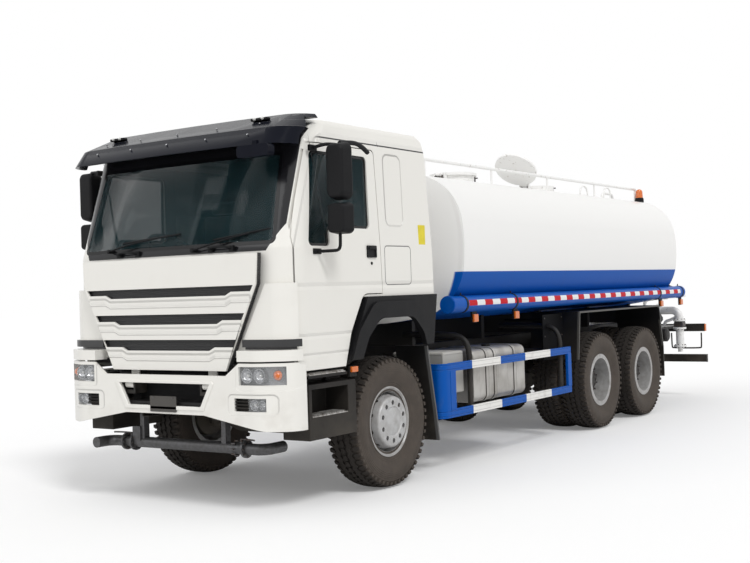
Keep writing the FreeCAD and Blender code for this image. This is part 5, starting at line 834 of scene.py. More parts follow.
# Painted shade: behind its front face, the middle of the shell is painted dark grey, in the walls of its
# openings.
opening_wall_shade = bumper_paint.ramp(bumper_y, -4.855, -4.850) * bumper_paint.ramp(abs(bumper_x), 0.93, 0.90)
spatter = bumper_paint.ramp(bumper_paint.noise(5.5, 6.0), 0.50, 0.78)
spatter = spatter * bumper_paint.ramp(bumper_z, 1.0, 0.66) * 0.30
shell_paint = bumper_paint.colours(spatter, CAB_WHITE, (0.36, 0.31, 0.25))
shell_paint = bumper_paint.colours(opening_wall_shade, shell_paint, (0.10, 0.10, 0.10))
shell_relief = frames + bumper_paint.noise(90.0, 2.0) * 0.02
bumper_white = bumper_paint.coat_of(shell_paint, 0.31 + spatter * 0.3, shell_relief, 0.010, coat_weight=0.35,
                                    coat_roughness=0.08)
dressed("bumper", bumper_white, 0.007, 3)


def ring_of(inner, outer, low, high, axis="y"):
    """A closed frame between two outlines with as many points each."""
    shape = bmesh.new()
    loops = [[shape.verts.new(laid(axis, u, v, w)) for u, v in line] for line, w in
             ((inner, low), (outer, low), (outer, high), (inner, high))]
    for i in range(4):
        walled(shape, loops[i], loops[(i + 1) % 4])
    return made_mesh(shape)


lip_inner = [(-0.398, 0.822), (0.398, 0.822), (0.496, 0.998), (0.480, 1.0005), (-0.480, 1.0005),
             (-0.496, 0.998)]
lip_outer = [(-0.435, 0.790), (0.435, 0.790), (0.545, 1.004), (0.528, 1.022), (-0.528, 1.022),
             (-0.545, 1.004)]
intake_lip = rounded(ring_of(lip_inner, lip_outer, -4.8835, -4.850), 0.008, 3)
settle("intake_lip", intake_lip, "chassis", bumper_white)
screen_black = chassis_finish("screen_black", (0.010, 0.010, 0.011), 0.5, 0.9)
screen = [prism([(-0.520, 0.775), (0.520, 0.775), (0.560, 1.056), (-0.560, 1.056)], -4.700, -4.690, "y")]
# A black shelf behind the bumper's top edge: painted shade seen through the gap under the flap.
screen.append(prism([(-4.700, 1.046), (-4.690, 1.050), (-4.744, 1.082), (-4.750, 1.074)], -0.640, 0.640, "x"))
screen.append(repeated(block((-0.440, 0.440), (-4.708, -4.699), (0.8300, 0.8335), "y"),
                       screen_black, 20, step=(0, 0, 0.0095)))
socket_line = [(-4.790, 0.030), (-4.790, 0.041), (-4.700, 0.044), (-4.700, 0.030)]
for sign in (1, -1):
    screen.append(turned_mesh(socket_line, 32, "y", (0.420 * sign, 0, 0.958)))
screen.append(prism([(-0.42, 0.826), (0.42, 0.826), (0.43, 0.848), (-0.43, 0.848)], -4.840, -4.700, "y"))
settle("intake_screen_and_shade_shelf", rounded(joined(*screen), 0.001, 1), "chassis", screen_black)
# A black sheet in the gap under the flap: painted shade, not a part of the truck.
gap_shade_sheet = block((-0.640, 0.640), (-4.700, -4.696), (1.030, 1.092), "y")
settle("gap_shade_sheet", rounded(gap_shade_sheet, 0.001, 1), "chassis", screen_black)
plate_dark = Finish("plate_dark")
plate_finish = plate_dark.coat_of(dusted(plate_dark, (0.040, 0.038, 0.036), 1.4, 0.5), 0.55,
                                  plate_dark.noise(12.0, 4.0), 0.001)
plate_line = [(-0.140, 0.772), (0.140, 0.772), (0.145, 0.777), (0.145, 0.893), (0.140, 0.898),
              (-0.140, 0.898), (-0.145, 0.893), (-0.145, 0.777)]
blank_plate = rounded(prism(plate_line, -4.8835, -4.8795, "y"), 0.001, 1)
plate_bolt = rounded(round_bar((-0.105, -4.8875, 0.884), (-0.105, -4.8765, 0.884), 0.008, 6), 0.001, 1)
bolts = repeated(plate_bolt, nut_steel, 2, step=(0.210, 0, 0))
plate_stay = block((-0.115, -0.095), (-4.880, -4.846), (0.790, 0.890), "y")
stays = repeated(plate_stay, plate_finish, 2, step=(0.210, 0, 0))
settle("blank_plate", joined(blank_plate, stays), "chassis", plate_finish)
settle("plate_bolts", bolts, "chassis", nut_steel)

# Head and fog lamps: bright moulded housings with two round bowls and an amber corner unit each,
# behind clear covers that follow the bumper's curve.
CHROME = (0.62, 0.62, 0.63)
AMBER = (0.78, 0.19, 0.015)
chrome = Finish("lamp_chrome")
flutes = abs((chrome.place("x") * 95) % 1 - 0.5)
lamp_chrome = chrome.coat_of(chrome.colours(chrome.noise(14.0, 3.0), CHROME, (0.30, 0.31, 0.33)),
                             0.16 + flutes * 0.08, flutes, 0.0012, metallic=0.85)
recess_grey = Finish("lamp_grey")
recess_lines = abs((recess_grey.place("z") * 70) % 1 - 0.5)
recess_colour = recess_grey.colours(recess_lines, (0.16, 0.165, 0.175), (0.30, 0.305, 0.315))
lamp_grey = recess_grey.coat_of(recess_colour, 0.28, recess_lines, 0.001, metallic=0.5)
amber = Finish("amber_lens")
amber_facets = amber.noise(55.0, 1.0)
amber_lens = amber.coat_of(amber.colours(amber_facets, AMBER, (0.55, 0.10, 0.01)), 0.16, amber_facets, 0.002,
                           coat_weight=0.6)
cover = Finish("clear_cover")
clear_cover = cover.coat_of((0.75, 0.77, 0.78), 0.04 + cover.noise(20.0) * 0.03, None, alpha=0.10, ior=1.45)
bulb_glass = Finish("bulb_glass")
bulb_colour = bulb_glass.colours(bulb_glass.noise(30.0), (0.75, 0.75, 0.72), (0.55, 0.55, 0.53))
bulb_finish = bulb_glass.coat_of(bulb_colour, 0.1, None, coat_weight=0.8)


def lamp_depth_at(x):
    """How far back the bumper's face lies at a distance from the middle."""
    past = max(0.0, abs(x) - 0.90)
    return -4.874 + past * past * 1.05 + max(0.0, abs(x) - 1.05) * 0.25


housings, covers, ambers, bulbs, recesses = [], [], [], [], []
head_lamp = (1.001, 1.139, 0.801, 1.179, ((0.868, 0.052), (0.985, 0.050)))
fog_lamp = (0.801, 0.899, 0.890, 1.039, ((0.935, 0.037), (1.003, 0.030)))
for sign in (1, -1):
    for low, high, inner, outer, bowls in (head_lamp, fog_lamp):
        places = [inner + (outer - inner) * k / 12 for k in range(13)]
        back = [(x * sign, lamp_depth_at(x) + 0.062) for x in places]
        front = [(x * sign, lamp_depth_at(x) + 0.052) for x in reversed(places)]
        recesses.append(prism(back + front, low, high))
        for x, radius in bowls:
            face = lamp_depth_at(x) + 0.050
            centre = (x * sign, 0, (low + high) / 2)
            bowl_line = [(face - 0.034, radius), (face - 0.034, radius + 0.004), (face, radius + 0.002),
                         (face + 0.002, radius * 0.35), (face - 0.003, radius * 0.35),
                         (face - 0.012, radius * 0.75)]
            bulb_line = [(face - 0.026, 0.0005), (face - 0.024, radius * 0.16), (face - 0.014, radius * 0.24),
                         (face - 0.002, radius * 0.24), (face - 0.002, 0.0005)]
            housings.append(turned_mesh(bowl_line, 40, "y", centre))
            bulbs.append(turned_mesh(bulb_line, 24, "y", centre))
        outside = [(x * sign, lamp_depth_at(x) + 0.002) for x in places]
        inside = [(x * sign, lamp_depth_at(x) + 0.005) for x in reversed(places)]
        covers.append(prism(outside + inside, low, high))
    face = lamp_depth_at(1.105) + 0.045
    amber_line = [(face - 0.040, 0.0005), (face - 0.036, 0.016), (face - 0.022, 0.032), (face, 0.038),
                  (face, 0.0005)]
    ambers.append(turned_mesh(amber_line, 32, "y", (1.105 * sign, 0, 1.072)))
settle("lamp_housings", rounded(joined(*housings), 0.0), "chassis", lamp_chrome,
       ["front_lamps"])
settle("lamp_recesses", rounded(joined(*recesses), 0.0), "chassis", lamp_grey)
settle("lamp_covers", rounded(joined(*covers), 0.0), "chassis", clear_cover)
settle("lamp_ambers", rounded(joined(*ambers), 0.0, angle=60), "chassis", amber_lens)
settle("lamp_bulbs", rounded(joined(*bulbs), 0.0, angle=60), "chassis", bulb_finish)

# Fog lamp inserts: a black moulded plate with three louvres beside each fog lamp, clipped into the
# bumper's opening.
inserts = []
for sign in (1, -1):
    span = (0.751 * sign, 0.889 * sign)
    inserts.append(block(span, (-4.838, -4.830), (0.801, 0.899), "y"))
    fin = block(span, (-4.868, -4.830), (0.822, 0.832), "y")
    inserts.append(repeated(fin, black_plastic, 3, step=(0, 0, 0.024)))
settle("fog_inserts", rounded(joined(*inserts), 0.002, 2), "chassis", black_plastic)

# Sun visor: a smoked acrylic moulding, nearly black and glossy, bent along two lines and held to the roof by
# rows of small screws. A painted highlight runs along each bend. Two black bars with a pair of marker lamps
# each stand on top.
VISOR_NAVY = (0.004, 0.005, 0.010)
visor_gloss = Finish("visor_gloss")
visor_z = visor_gloss.place("z")
# Thin lighter lines along the two bends: painted highlights.
bend_highlights = line_at(visor_gloss, visor_z - 2.972, 0.004) + line_at(visor_gloss, visor_z - 3.036, 0.004)
smoke = visor_gloss.noise(3.0, 4.0)
visor_colour = visor_gloss.colours(smoke, VISOR_NAVY, (0.011, 0.012, 0.018))
visor_finish = visor_gloss.coat_of(visor_gloss.colours(bend_highlights, visor_colour, (0.05, 0.05, 0.055)),
                                   0.14 + smoke * 0.10, bend_highlights, 0.002, specular_ior_level=0.06)
dressed("visor", visor_finish, 0.006, 3)
visor_curve = 0.036
screw_rows = []
for start, end, step_on in (((-0.840, -4.7510, 2.925), (-0.840, -4.7610, 2.921), 0.420),
                            ((-0.860, -4.6250, 3.012), (-0.860, -4.6330, 3.020), 0.430)):
    screw = rounded(round_bar(start, end, 0.0065, 12), 0.002, 2)
    row_of_five = repeated(screw, nut_steel, 5, step=(step_on, 0, 0))
    for vertex in row_of_five.vertices:
        vertex.co.y += vertex.co.x ** 2 * visor_curve
    screw_rows.append(row_of_five)
settle("visor_screws", joined(*screw_rows), "cab", lamp_chrome)
marker_bases, marker_lenses = [], []
lens_line = [(-4.558, 0.001), (-4.556, 0.009), (-4.548, 0.013), (-4.520, 0.014), (-4.520, 0.001)]
for x in (-0.80, 0.80):
    base = block((x - 0.085, x + 0.085), (-4.545, -4.495), (3.052, 3.075))
    marker_bases.append(rounded(base, 0.008, 3))
    for lamp_x in (x - 0.040, x + 0.040):
        lens = turned_mesh(lens_line, 20, "y", (lamp_x, 0, 3.066))
        marker_lenses.append(rounded(lens, 0.0, angle=60))
settle("marker_bases", joined(*marker_bases), "cab", black_plastic)
settle("marker_lenses", joined(*marker_lenses), "cab", bulb_finish)

# Mirrors: moulded black housings on steel arms that are bolted to each door, a tall flat mirror
# over a wide-angle one. The mirror glass faces backwards.


def tube(points, radius, sides=10):
    """A smooth closed tube that follows the points."""
    line = bpy.data.curves.new("line", "CURVE")
    line.dimensions = "3D"
    line.bevel_depth = radius
    line.bevel_resolution = max(1, sides // 4)
    line.use_fill_caps = True
    path = line.splines.new("NURBS")
    path.points.add(len(points) - 1)
    for point, place in zip(path.points, points):
        point.co = (*place, 1)
    path.order_u = 3
    path.use_endpoint_u = True
    path.resolution_u = 6
    shape = bmesh.new()
    shape.from_mesh(worked(placed("line", line)))
    finished = smooth(made_mesh(shape))
    finished.set_sharp_from_angle(angle=math.radians(50))
    return finished


def housing(low, high, lean):
    """A mirror's shell: rounded at the front, with a shallow recess for the glass behind."""
    (x0, y0, z0), (x1, y1, z1) = low, high
    cut_x, cut_z = (x1 - x0) * 0.16, (z1 - z0) * 0.09
    outline = [(x0 + cut_x, z0), (x1 - cut_x, z0), (x1, z0 + cut_z), (x1, z1 - cut_z), (x1 - cut_x, z1),
               (x0 + cut_x, z1), (x0, z1 - cut_z), (x0, z0 + cut_z)]
    shell = prism(outline, y0, y1, "y")
    middle = ((x0 + x1) / 2, (z0 + z1) / 2)
    for vertex in shell.vertices:
        if vertex.co.y < y0 + 0.001:
            vertex.co.x = middle[0] + (vertex.co.x - middle[0]) * lean
            vertex.co.z = middle[1] + (vertex.co.z - middle[1]) * (1 - (1 - lean) * 0.4)
    recess = [(middle[0] + (x - middle[0]) * 0.90, middle[1] + (z - middle[1]) * 0.95) for x, z in outline]
    hollow = prism(recess, y1 - 0.006, y1 + 0.05, "y")
    return rounded(cut_by(rounded(shell, 0.022, 4), hollow), 0.002, 1), recess


mirror_face = Finish("mirror_face")
mirror_colour = mirror_face.colours(mirror_face.noise(3.0), (0.62, 0.66, 0.68), (0.52, 0.56, 0.59))
mirror_glass = mirror_face.coat_of(mirror_colour, 0.04, None, metallic=0.9)
tall_mirror = ((1.302, -4.388, 2.392), (1.499, -4.262, 2.846))
wide_mirror = ((1.302, -4.388, 2.132), (1.499, -4.262, 2.378))
arm_lines = (([(1.196, -4.372, 2.812), (1.250, -4.372, 2.826), (1.330, -4.340, 2.838),
               (1.400, -4.325, 2.820)], 0.014), ([(1.400, -4.300, 2.836), (1.402, -4.150, 2.858),
                                                  (1.396, -4.000, 2.846), (1.372, -3.880, 2.800)], 0.019),
             ([(1.400, -4.325, 2.150), (1.400, -4.325, 2.090), (1.398, -4.330, 2.010), (1.330, -4.340, 2.006),
               (1.205, -4.372, 2.006)], 0.013))
for side, sign in both_sides:
    shells, faces = [], []
    for low, high in (tall_mirror, wide_mirror):
        shell, recess = housing(low, high, 0.78)
        shells.append(shell)
        faces.append(rounded(prism(recess, -4.270, -4.266, "y"), 0.001, 1))
    arms = [tube(line, thick) for line, thick in arm_lines]
    arms.append(rounded(block((1.203, 1.216), (-4.425, -4.325), (1.985, 2.030), "x"), 0.004))
    arms.append(rounded(block((1.180, 1.206), (-4.420, -4.330), (2.790, 2.838), "x"), 0.004))
    whole, glasses = joined(*shells, *arms), joined(*faces)
    if sign < 0:
        for mesh in (whole, glasses):
            for vertex in mesh.vertices:
                vertex.co.x *= -1
            mesh.flip_normals()
    settle(f"mirrors_{side}_housings", whole, f"door_{side}", black_plastic,
           [f"mirrors_{side}"])
    settle(f"mirrors_{side}_glass", glasses, f"door_{side}", mirror_glass)

# Wipers and cowl handles: black steel arms with rubber blades, parked low on the windscreen, and
# two grab handles bolted under them.
wiper_parts = []
wiper_blade_start = Vector((-0.130, -0.004, -0.006))
for pivot, elbow, blade in (((-0.682, -4.783, 2.085), (-0.380, -4.770, 2.150), (0.102, -4.728, 2.193)),
                            ((0.287, -4.800, 2.050), (0.620, -4.762, 2.130), (1.000, -4.668, 2.191))):
    wiper_parts.append(tube([pivot, elbow, [(a + b) / 2 for a, b in zip(elbow, blade)]], 0.0075))
    wiper_parts.append(round_bar(Vector(elbow) + wiper_blade_start, blade, 0.0085, 8))
    x, y, z = pivot
    wiper_parts.append(rounded(round_bar((x, y + 0.055, z), (x, y - 0.010, z), 0.017, 16), 0.003))
for x in (-0.470, 0.560):
    handle_line = [(x - 0.110, -4.748, 2.050), (x - 0.110, -4.796, 2.062), (x, -4.800, 2.070),
                   (x + 0.110, -4.796, 2.062), (x + 0.110, -4.748, 2.050)]
    wiper_parts.append(tube(handle_line, 0.010))
    for foot_x in (x - 0.110, x + 0.110):
        foot = block((foot_x - 0.022, foot_x + 0.022), (-4.772, -4.745), (2.030, 2.075), "y")
        wiper_parts.append(rounded(foot, 0.004))
settle("wipers_and_handles", joined(*wiper_parts), "cab", black_plastic)

# Cab fenders, steps and mudguards: black moulded arches and step boxes, with serrated aluminium
# treads, mudguards whose steel edge is rolled and grey, and an amber lamp on each side.
for node in ("cab_fenders", "steps"):
    dressed(node, black_plastic, 0.006, 3)
guard = Finish("mudguard_black")
guard_x = guard.place("x")
rolled = guard.ramp(abs(guard_x), 1.172, 1.178)
guard_colour = guard.colours(rolled, dusted(guard, (0.009, 0.009, 0.010), 1.2), (0.10, 0.10, 0.10))
mudguard_finish = guard.coat_of(guard_colour, 0.45, guard.noise(150.0, 2.0), 0.0004, specular_ior_level=0.3)
dressed("front_mudguards", mudguard_finish, 0.004)
tread = Finish("tread_metal")
tread_wear = tread.noise(22.0, 5.0)
tread_colour = tread.colours(tread.ramp(tread_wear, 0.4, 0.7), (0.55, 0.54, 0.52), (0.16, 0.14, 0.12))
tread_metal = tread.coat_of(tread_colour, 0.40 + tread_wear * 0.3, tread_wear, 0.001, metallic=0.6)
treads = []
tooth_pitch = 0.022
low_tread = (-4.500, -4.041, 0.727, 1.075, 1.214)
high_tread = (-4.530, -4.060, 1.0505, 1.130, 1.214)
for sign in (1, -1):
    for y_low, y_high, z, x_in, x_out in (low_tread, high_tread):
        across = sorted((x_in * sign, x_out * sign))
        treads.append(block(across, (y_low, y_high), (z - 0.001, z + 0.006)))
        count = int((y_high - y_low) / tooth_pitch)
        tooth = prism([(y_low + 0.002, z + 0.005), (y_low + 0.012, z + 0.005), (y_low + 0.007, z + 0.018)],
                      across[0] + 0.006, across[1] - 0.004, "x")
        treads.append(repeated(tooth, tread_metal, count, step=(0, tooth_pitch, 0)))
settle("step_treads", joined(*treads), "chassis", tread_metal)
side_lamps, side_bases = [], []
for sign in (1, -1):
    lens = block((1.212 * sign, 1.236 * sign), (-3.992, -3.908), (1.036, 1.082), "x")
    side_lamps.append(rounded(lens, 0.006, 3))
    base = block((1.190 * sign, 1.214 * sign), (-3.998, -3.902), (1.000, 1.087), "x")
    side_bases.append(rounded(base, 0.004))
settle("front_side_lamps", joined(*side_lamps), "chassis", amber_lens)
settle("front_side_bases", joined(*side_bases), "chassis", black_plastic)

# Cab interior: a moulded grey dashboard and wheel, and seats of foam under woven grey cloth, two in
# front and one wide bunk behind them.
dash = Finish("dash_plastic")
dash_grain = dash.noise(600.0, 3.0)
dash_plastic = dash.coat_of(dash.colours(dash.noise(4.0), TRIM_GREY, (0.075, 0.075, 0.078)),
                            0.55 + dash_grain * 0.15, dash_grain, 0.0004)
dressed("dashboard", dash_plastic, 0.010, 3)

cloth = Finish("seat_cloth")
ribs_up = abs((cloth.place("x") * 120) % 1 - 0.5)
weave = abs((cloth.place("z") * 400 + cloth.place("y") * 400) % 1 - 0.5)
fade = cloth.noise(5.0, 4.0)
cloth_colour = cloth.colours(fade * 0.6 + ribs_up * 0.4, (0.070, 0.072, 0.078), (0.135, 0.135, 0.140))
seat_cloth = cloth.coat_of(cloth_colour, 0.85, ribs_up * 0.7 + weave * 0.3, 0.0012, sheen_weight=0.3)


def cushion(low, high, crown, crown_axis):
    """A crowned pad that fills a box: fuller in its middle, with sides that pull in."""
    shape = bmesh.new()
    bmesh.ops.create_cube(shape, size=2)
    bmesh.ops.subdivide_edges(shape, edges=shape.edges[:], cuts=9, use_grid_fill=True)
    low, high = Vector(low), Vector(high)
    middle, half = (low + high) / 2, (high - low) / 2
    soft = min(half) * 0.55
    for vertex in shape.verts:
        unit = vertex.co.copy()
        core = Vector([max(-(h - soft), min(h - soft, u * h)) for u, h in zip(unit, half)])
        skin = Vector([u * h - c for u, h, c in zip(unit, half, core)])
        place = core + (skin.normalized() * soft if skin.length > 1e-6 else skin)
        flat_axes = [k for k in range(3) if k != crown_axis]
        fullness = math.prod(1 - unit[k] ** 2 for k in flat_axes)
        place[crown_axis] *= 1 - crown + crown * fullness
        for k in flat_axes:
            other = flat_axes[1] if k == flat_axes[0] else flat_axes[0]
            place[k] *= 1 - 0.020 * (1 - unit[other] ** 2)
        vertex.co = middle + place
    return smooth(made_mesh(shape))


seat_frames = []
half_width = 0.235
for side, x in (("left", 0.700), ("right", -0.700)):
    parts = {
        "base": ((x - half_width, -3.795, 1.845), (x + half_width, -3.300, 1.948), 0.16, 2),
        "back": ((x - half_width, -3.358, 1.935), (x + half_width, -3.235, 2.440), 0.18, 1),
        "head": ((x - 0.130, -3.345, 2.452), (x + 0.130, -3.250, 2.568), 0.20, 1),
    }
    for part, (low, high, crown, crown_axis) in parts.items():
        pad = settle(f"seat_{side}_{part}", cushion(low, high, crown, crown_axis), "cab",
                     seat_cloth, ["seats"] if (side, part) == ("left", "base") else [])
    seat_frames.append(rounded(block((x - 0.20, x + 0.20), (-3.76, -3.33), (1.690, 1.850)), 0.012, 3))
    for post in (x - 0.05, x + 0.05):
        seat_frames.append(round_bar((post, -3.297, 2.380), (post, -3.297, 2.500), 0.008, 10))
bunk = settle("bunk_mattress", cushion((-1.100, -3.175, 1.960), (1.100, -2.820, 2.108), 0.12, 2), "cab",
              seat_cloth)
seat_frames.append(rounded(block((-1.100, 1.100), (-3.160, -2.820), (1.690, 1.965)), 0.012, 3))
settle("seat_frames", joined(*seat_frames), "cab", dash_plastic)

# Tank: a rolled steel shell with two dished heads welded in. White above, with a broad blue band
# along the barrel's lower half, and a low weld bead at each head.
TANK_WHITE = (0.86, 0.855, 0.84)
BAND_BLUE = (0.0, 0.084, 0.40)
tank_finish = Finish("tank_enamel")
tank_y, tank_z = tank_finish.place("y"), tank_finish.place("z")
band_start, band_end = -2.085, 3.779
on_barrel = tank_finish.ramp(tank_y, band_start - 0.003, band_start + 0.002)
on_barrel = on_barrel * tank_finish.ramp(tank_y, band_end + 0.003, band_end - 0.003)
blue_part = tank_finish.ramp(tank_z, 1.842, 1.839) * on_barrel
beads = tank_finish.ramp(abs(tank_y + 2.069), 0.010, 0.0) + tank_finish.ramp(abs(tank_y - 3.729), 0.010, 0.0)
sheets = line_at(tank_finish, abs(tank_y - 0.83) - 0.98, 0.004, 0.004) * on_barrel
rain = tank_finish.ramp(tank_finish.noise(1.0, 3.0, tank_finish.stretched(3, 16, 0.9)), 0.50, 0.95)
tank_colour = tank_finish.colours(rain * tank_finish.ramp(tank_z, 2.7, 1.7) * 0.05, TANK_WHITE,
                                  (0.66, 0.63, 0.59))
rained_blue = tank_finish.colours(rain * 0.25, BAND_BLUE, (0.02, 0.08, 0.30))
tank_colour = tank_finish.colours(blue_part, tank_colour, rained_blue)
buckle = tank_finish.noise(1.3, 2.0)
tank_enamel = tank_finish.coat_of(tank_colour, 0.30 + blue_part * 0.12 + rain * 0.01,
                                  beads + sheets * 0.25 + buckle, 0.003, specular_ior_level=0.10)
dressed("tank_shell", tank_enamel, 0.010, 3)
chassis_enamel = chassis_finish("cradle_black", CHASSIS_BLACK, 0.40, 1.3)
dressed("tank_cradle", chassis_enamel, 0.003)

# Roof fittings: manhole necks and dished lids, tube rails on posts and arched grab hoops, all in
# white paint, with bare steel hinges, latches and knobs, and an amber beacon at the rear left.
white_tube = Finish("white_tube")
chips = white_tube.ramp(white_tube.noise(26.0, 5.0), 0.62, 0.70)
white_paint = white_tube.coat_of(white_tube.colours(chips * 0.5, TANK_WHITE, (0.40, 0.36, 0.32)),
                                 0.34 + chips * 0.3, chips, 0.0006, specular_ior_level=0.42)
for node in ("manhole_necks", "walkway_rails", "rear_ladder"):
    dressed(node, white_paint, 0.003)
for node in ("manhole_lid_front", "manhole_lid_rear"):
    dressed(node, white_paint, 0.005, 3)
hoops = []
hoop_x = 0.430
for y, top in ((2.460, 2.970), (3.230, 2.990)):
    arch = ((-0.120, 2.790), (-0.120, top - 0.090), (-0.085, top - 0.022), (0, top), (0.085, top - 0.022),
            (0.120, top - 0.090), (0.120, 2.790))
    hoops.append(tube([(hoop_x, y + along, z) for along, z in arch], 0.011))
rail_end = ((3.580, 2.980), (3.700, 2.984), (3.758, 2.972), (3.762, 2.900), (3.762, 2.725))
for x in (0.628, -0.628):
    hoops.append(tube([(x, y, z) for y, z in rail_end], 0.0125))
settle("grab_hoops", joined(*hoops), "chassis", white_paint)
latches = []
for centre_y in (-0.200, 1.880):
    for x in (-0.120, 0.120):
        latch_y = centre_y + 0.312
        latches.append(round_bar((x, latch_y, 2.874), (x, latch_y, 2.966), 0.009, 12))
        latches.append(round_bar((x - 0.035, latch_y, 2.945), (x + 0.035, latch_y, 2.945), 0.008, 12))
        foot = block((x - 0.016, x + 0.016), (centre_y + 0.200, centre_y + 0.326), (2.868, 2.884))
        latches.append(rounded(foot, 0.002))
settle("manhole_latches", joined(*latches), "chassis", nut_steel)
hinges = []
hinge_line = ((-0.030, 2.868), (0.030, 2.868), (0.022, 2.940), (0.006, 2.952), (-0.012, 2.952),
              (-0.026, 2.940))
for hinge_y in (-0.482, 1.618):
    for x in (-0.045, 0.045):
        outline = [(hinge_y + along, z) for along, z in hinge_line]
        hinges.append(rounded(prism(outline, x - 0.008, x + 0.008, "x"), 0.002))
settle("lid_hinges", joined(*hinges), "chassis", nut_steel)
for row, start, end in (("rear", (0, 1.402, 3.128), (0, 1.376, 3.097)),
                        ("front", (0, -0.200, 2.962), (0, -0.200, 2.998))):
    knob = rounded(round_bar(start, end, 0.016, 20), 0.003)
    settle(f"lid_knob_{row}", knob, f"lid_{row}", nut_steel)
beacon_place = (0.700, 3.720, 0)
base_line = [(2.742, 0.001), (2.742, 0.060), (2.830, 0.060), (2.846, 0.056), (2.852, 0.050), (2.852, 0.001)]
dome_line = [(2.852, 0.001), (2.852, 0.049), (2.862, 0.050), (2.935, 0.046), (2.958, 0.036), (2.969, 0.016),
             (2.971, 0.001)]
beacon_base = rounded(turned_mesh(base_line, 40, "z", beacon_place), 0.002)
settle("beacon_base", beacon_base, "chassis", black_plastic)
dome = rounded(turned_mesh(dome_line, 40, "z", beacon_place), 0.0, angle=40)
settle("beacon_dome", dome, "chassis", amber_lens, ["beacon"])

# Hose tubes: a blue painted tube along each side for the suction hose, with screwed end caps, red
# and white reflecting tape, black steel straps, and amber side lamps on brackets below.
TAPE_RED = (0.52, 0.012, 0.022)
tube_finish = Finish("tube_blue")
hose_x, hose_y, hose_z = tube_finish.place("x"), tube_finish.place("y"), tube_finish.place("z")
taped = tube_finish.ramp(abs(hose_z - 1.540), 0.0275, 0.0265) * tube_finish.ramp(abs(hose_x), 1.150, 1.156)
taped = taped * tube_finish.ramp(abs(hose_y - 0.920), 2.922, 2.918)
blocks = tube_finish.ramp(abs(((hose_y + 1.922) / 0.310) % 1 - 0.5), 0.249, 0.251)
cells = abs((hose_y * 130 + hose_z * 75) % 1 - 0.5)
tape_white = tube_finish.colours(cells * 0.5, (0.80, 0.80, 0.80), (0.62, 0.64, 0.66))
tape_colour = tube_finish.colours(blocks, tape_white, TAPE_RED)
scratched = tube_finish.ramp(tube_finish.noise(6.0, 5.0), 0.5, 0.8)
tube_colour = tube_finish.colours(scratched * 0.25, BAND_BLUE, (0.03, 0.10, 0.34))
tube_colour = tube_finish.colours(taped, tube_colour, tape_colour)
tube_blue = tube_finish.coat_of(tube_colour, 0.36 + taped * 0.15, taped * 0.6 + cells * taped * 0.2, 0.0008,
                                specular_ior_level=0.14)
dressed("hose_tubes", tube_blue, 0.006, 3)
caps, straps, tube_lamps, lamp_bases = [], [], [], []
tube_x, tube_z, tube_radius = 1.120, 1.530, 0.0795
strap_foot = ((1.045, 1.565), (0.970, 1.600), (0.970, 1.640), (1.070, 1.600))
for sign in (1, -1):
    middle = (tube_x * sign, 0, tube_z)
    for end, out in ((-2.285, -1), (4.025, 1)):
        cap_line = [(end - 0.006 * out, tube_radius), (end - 0.006 * out, 0.084), (end - 0.050 * out, 0.084),
                    (end - 0.055 * out, tube_radius)]
        caps.append(turned_mesh(cap_line, 48, "y", middle))
    for y in (-2.030, -1.010, 3.090, 3.950):
        strap_line = [(y - 0.016, tube_radius), (y - 0.016, 0.0850), (y + 0.016, 0.0850),
                      (y + 0.016, tube_radius)]
        straps.append(turned_mesh(strap_line, 48, "y", middle))
        straps.append(prism(on_side(strap_foot, sign), y - 0.014, y + 0.014, "y"))
        straps.append(round_bar((tube_x * sign, y, 1.608), (tube_x * sign, y, 1.640), 0.007, 6))
    for y in (-1.810, -0.950, 3.230, 3.990):
        lens = block((1.140 * sign, 1.164 * sign), (y - 0.042, y + 0.042), (1.352, 1.428), "x")
        tube_lamps.append(rounded(lens, 0.006, 3))
        base = block((1.122 * sign, 1.141 * sign), (y - 0.046, y + 0.046), (1.348, 1.456), "x")
        lamp_bases.append(rounded(base, 0.003))
settle("tube_caps", rounded(joined(*caps), 0.002), "chassis", tube_blue)
settle("tube_straps", rounded(joined(*straps), 0.001, 1), "chassis", chassis_black)
settle("tube_lamps", joined(*tube_lamps), "chassis", amber_lens)
settle("tube_lamp_bases", joined(*lamp_bases), "chassis", black_plastic)

# Side guards: pressed steel rails between end frames, in blue and white blocks, bolted to black
# bent tubes. The front end of each guard curls inwards as a blue plate.
guard_finish = Finish("guard_blocks")
guard_y, guard_z = guard_finish.place("y"), guard_finish.place("z")
white_blocks = 0
for start, end in ((-2.060, -1.490), (-0.960, -0.374)):
    started = guard_finish.ramp(guard_y, start - 0.001, start + 0.001)
    white_blocks = started * guard_finish.ramp(guard_y, end + 0.001, end - 0.001) + white_blocks
mid_frame = guard_z - 0.750
from_rail = abs(abs(mid_frame) - 0.212)
grooves = guard_finish.ramp(abs(from_rail - 0.020), 0.0055, 0.0)
scuffs = guard_finish.ramp(guard_finish.noise(12.0, 6.0), 0.55, 0.75)
block_colour = guard_finish.colours(scuffs * 0.35, BAND_BLUE, (0.04, 0.11, 0.30))
white_colour = guard_finish.colours(scuffs * 0.30, (0.82, 0.81, 0.78), (0.45, 0.42, 0.38))
block_colour = guard_finish.colours(white_blocks, block_colour, white_colour)
guard_blocks = guard_finish.coat_of(block_colour, 0.38 + scuffs * 0.22, scuffs * 0.05 - grooves, 0.004,
                                    specular_ior_level=0.14)
dressed("side_guard_rails", guard_blocks, 0.004, 3)
dressed("side_guard_posts", chassis_black, 0.003)
ends, hangers = [], []
curl_line = ((1.240, -2.468), (1.238, -2.520), (1.226, -2.560), (1.200, -2.588), (1.160, -2.600),
             (1.090, -2.602), (1.090, -2.594), (1.158, -2.592), (1.194, -2.580), (1.217, -2.556),
             (1.229, -2.518), (1.231, -2.468))
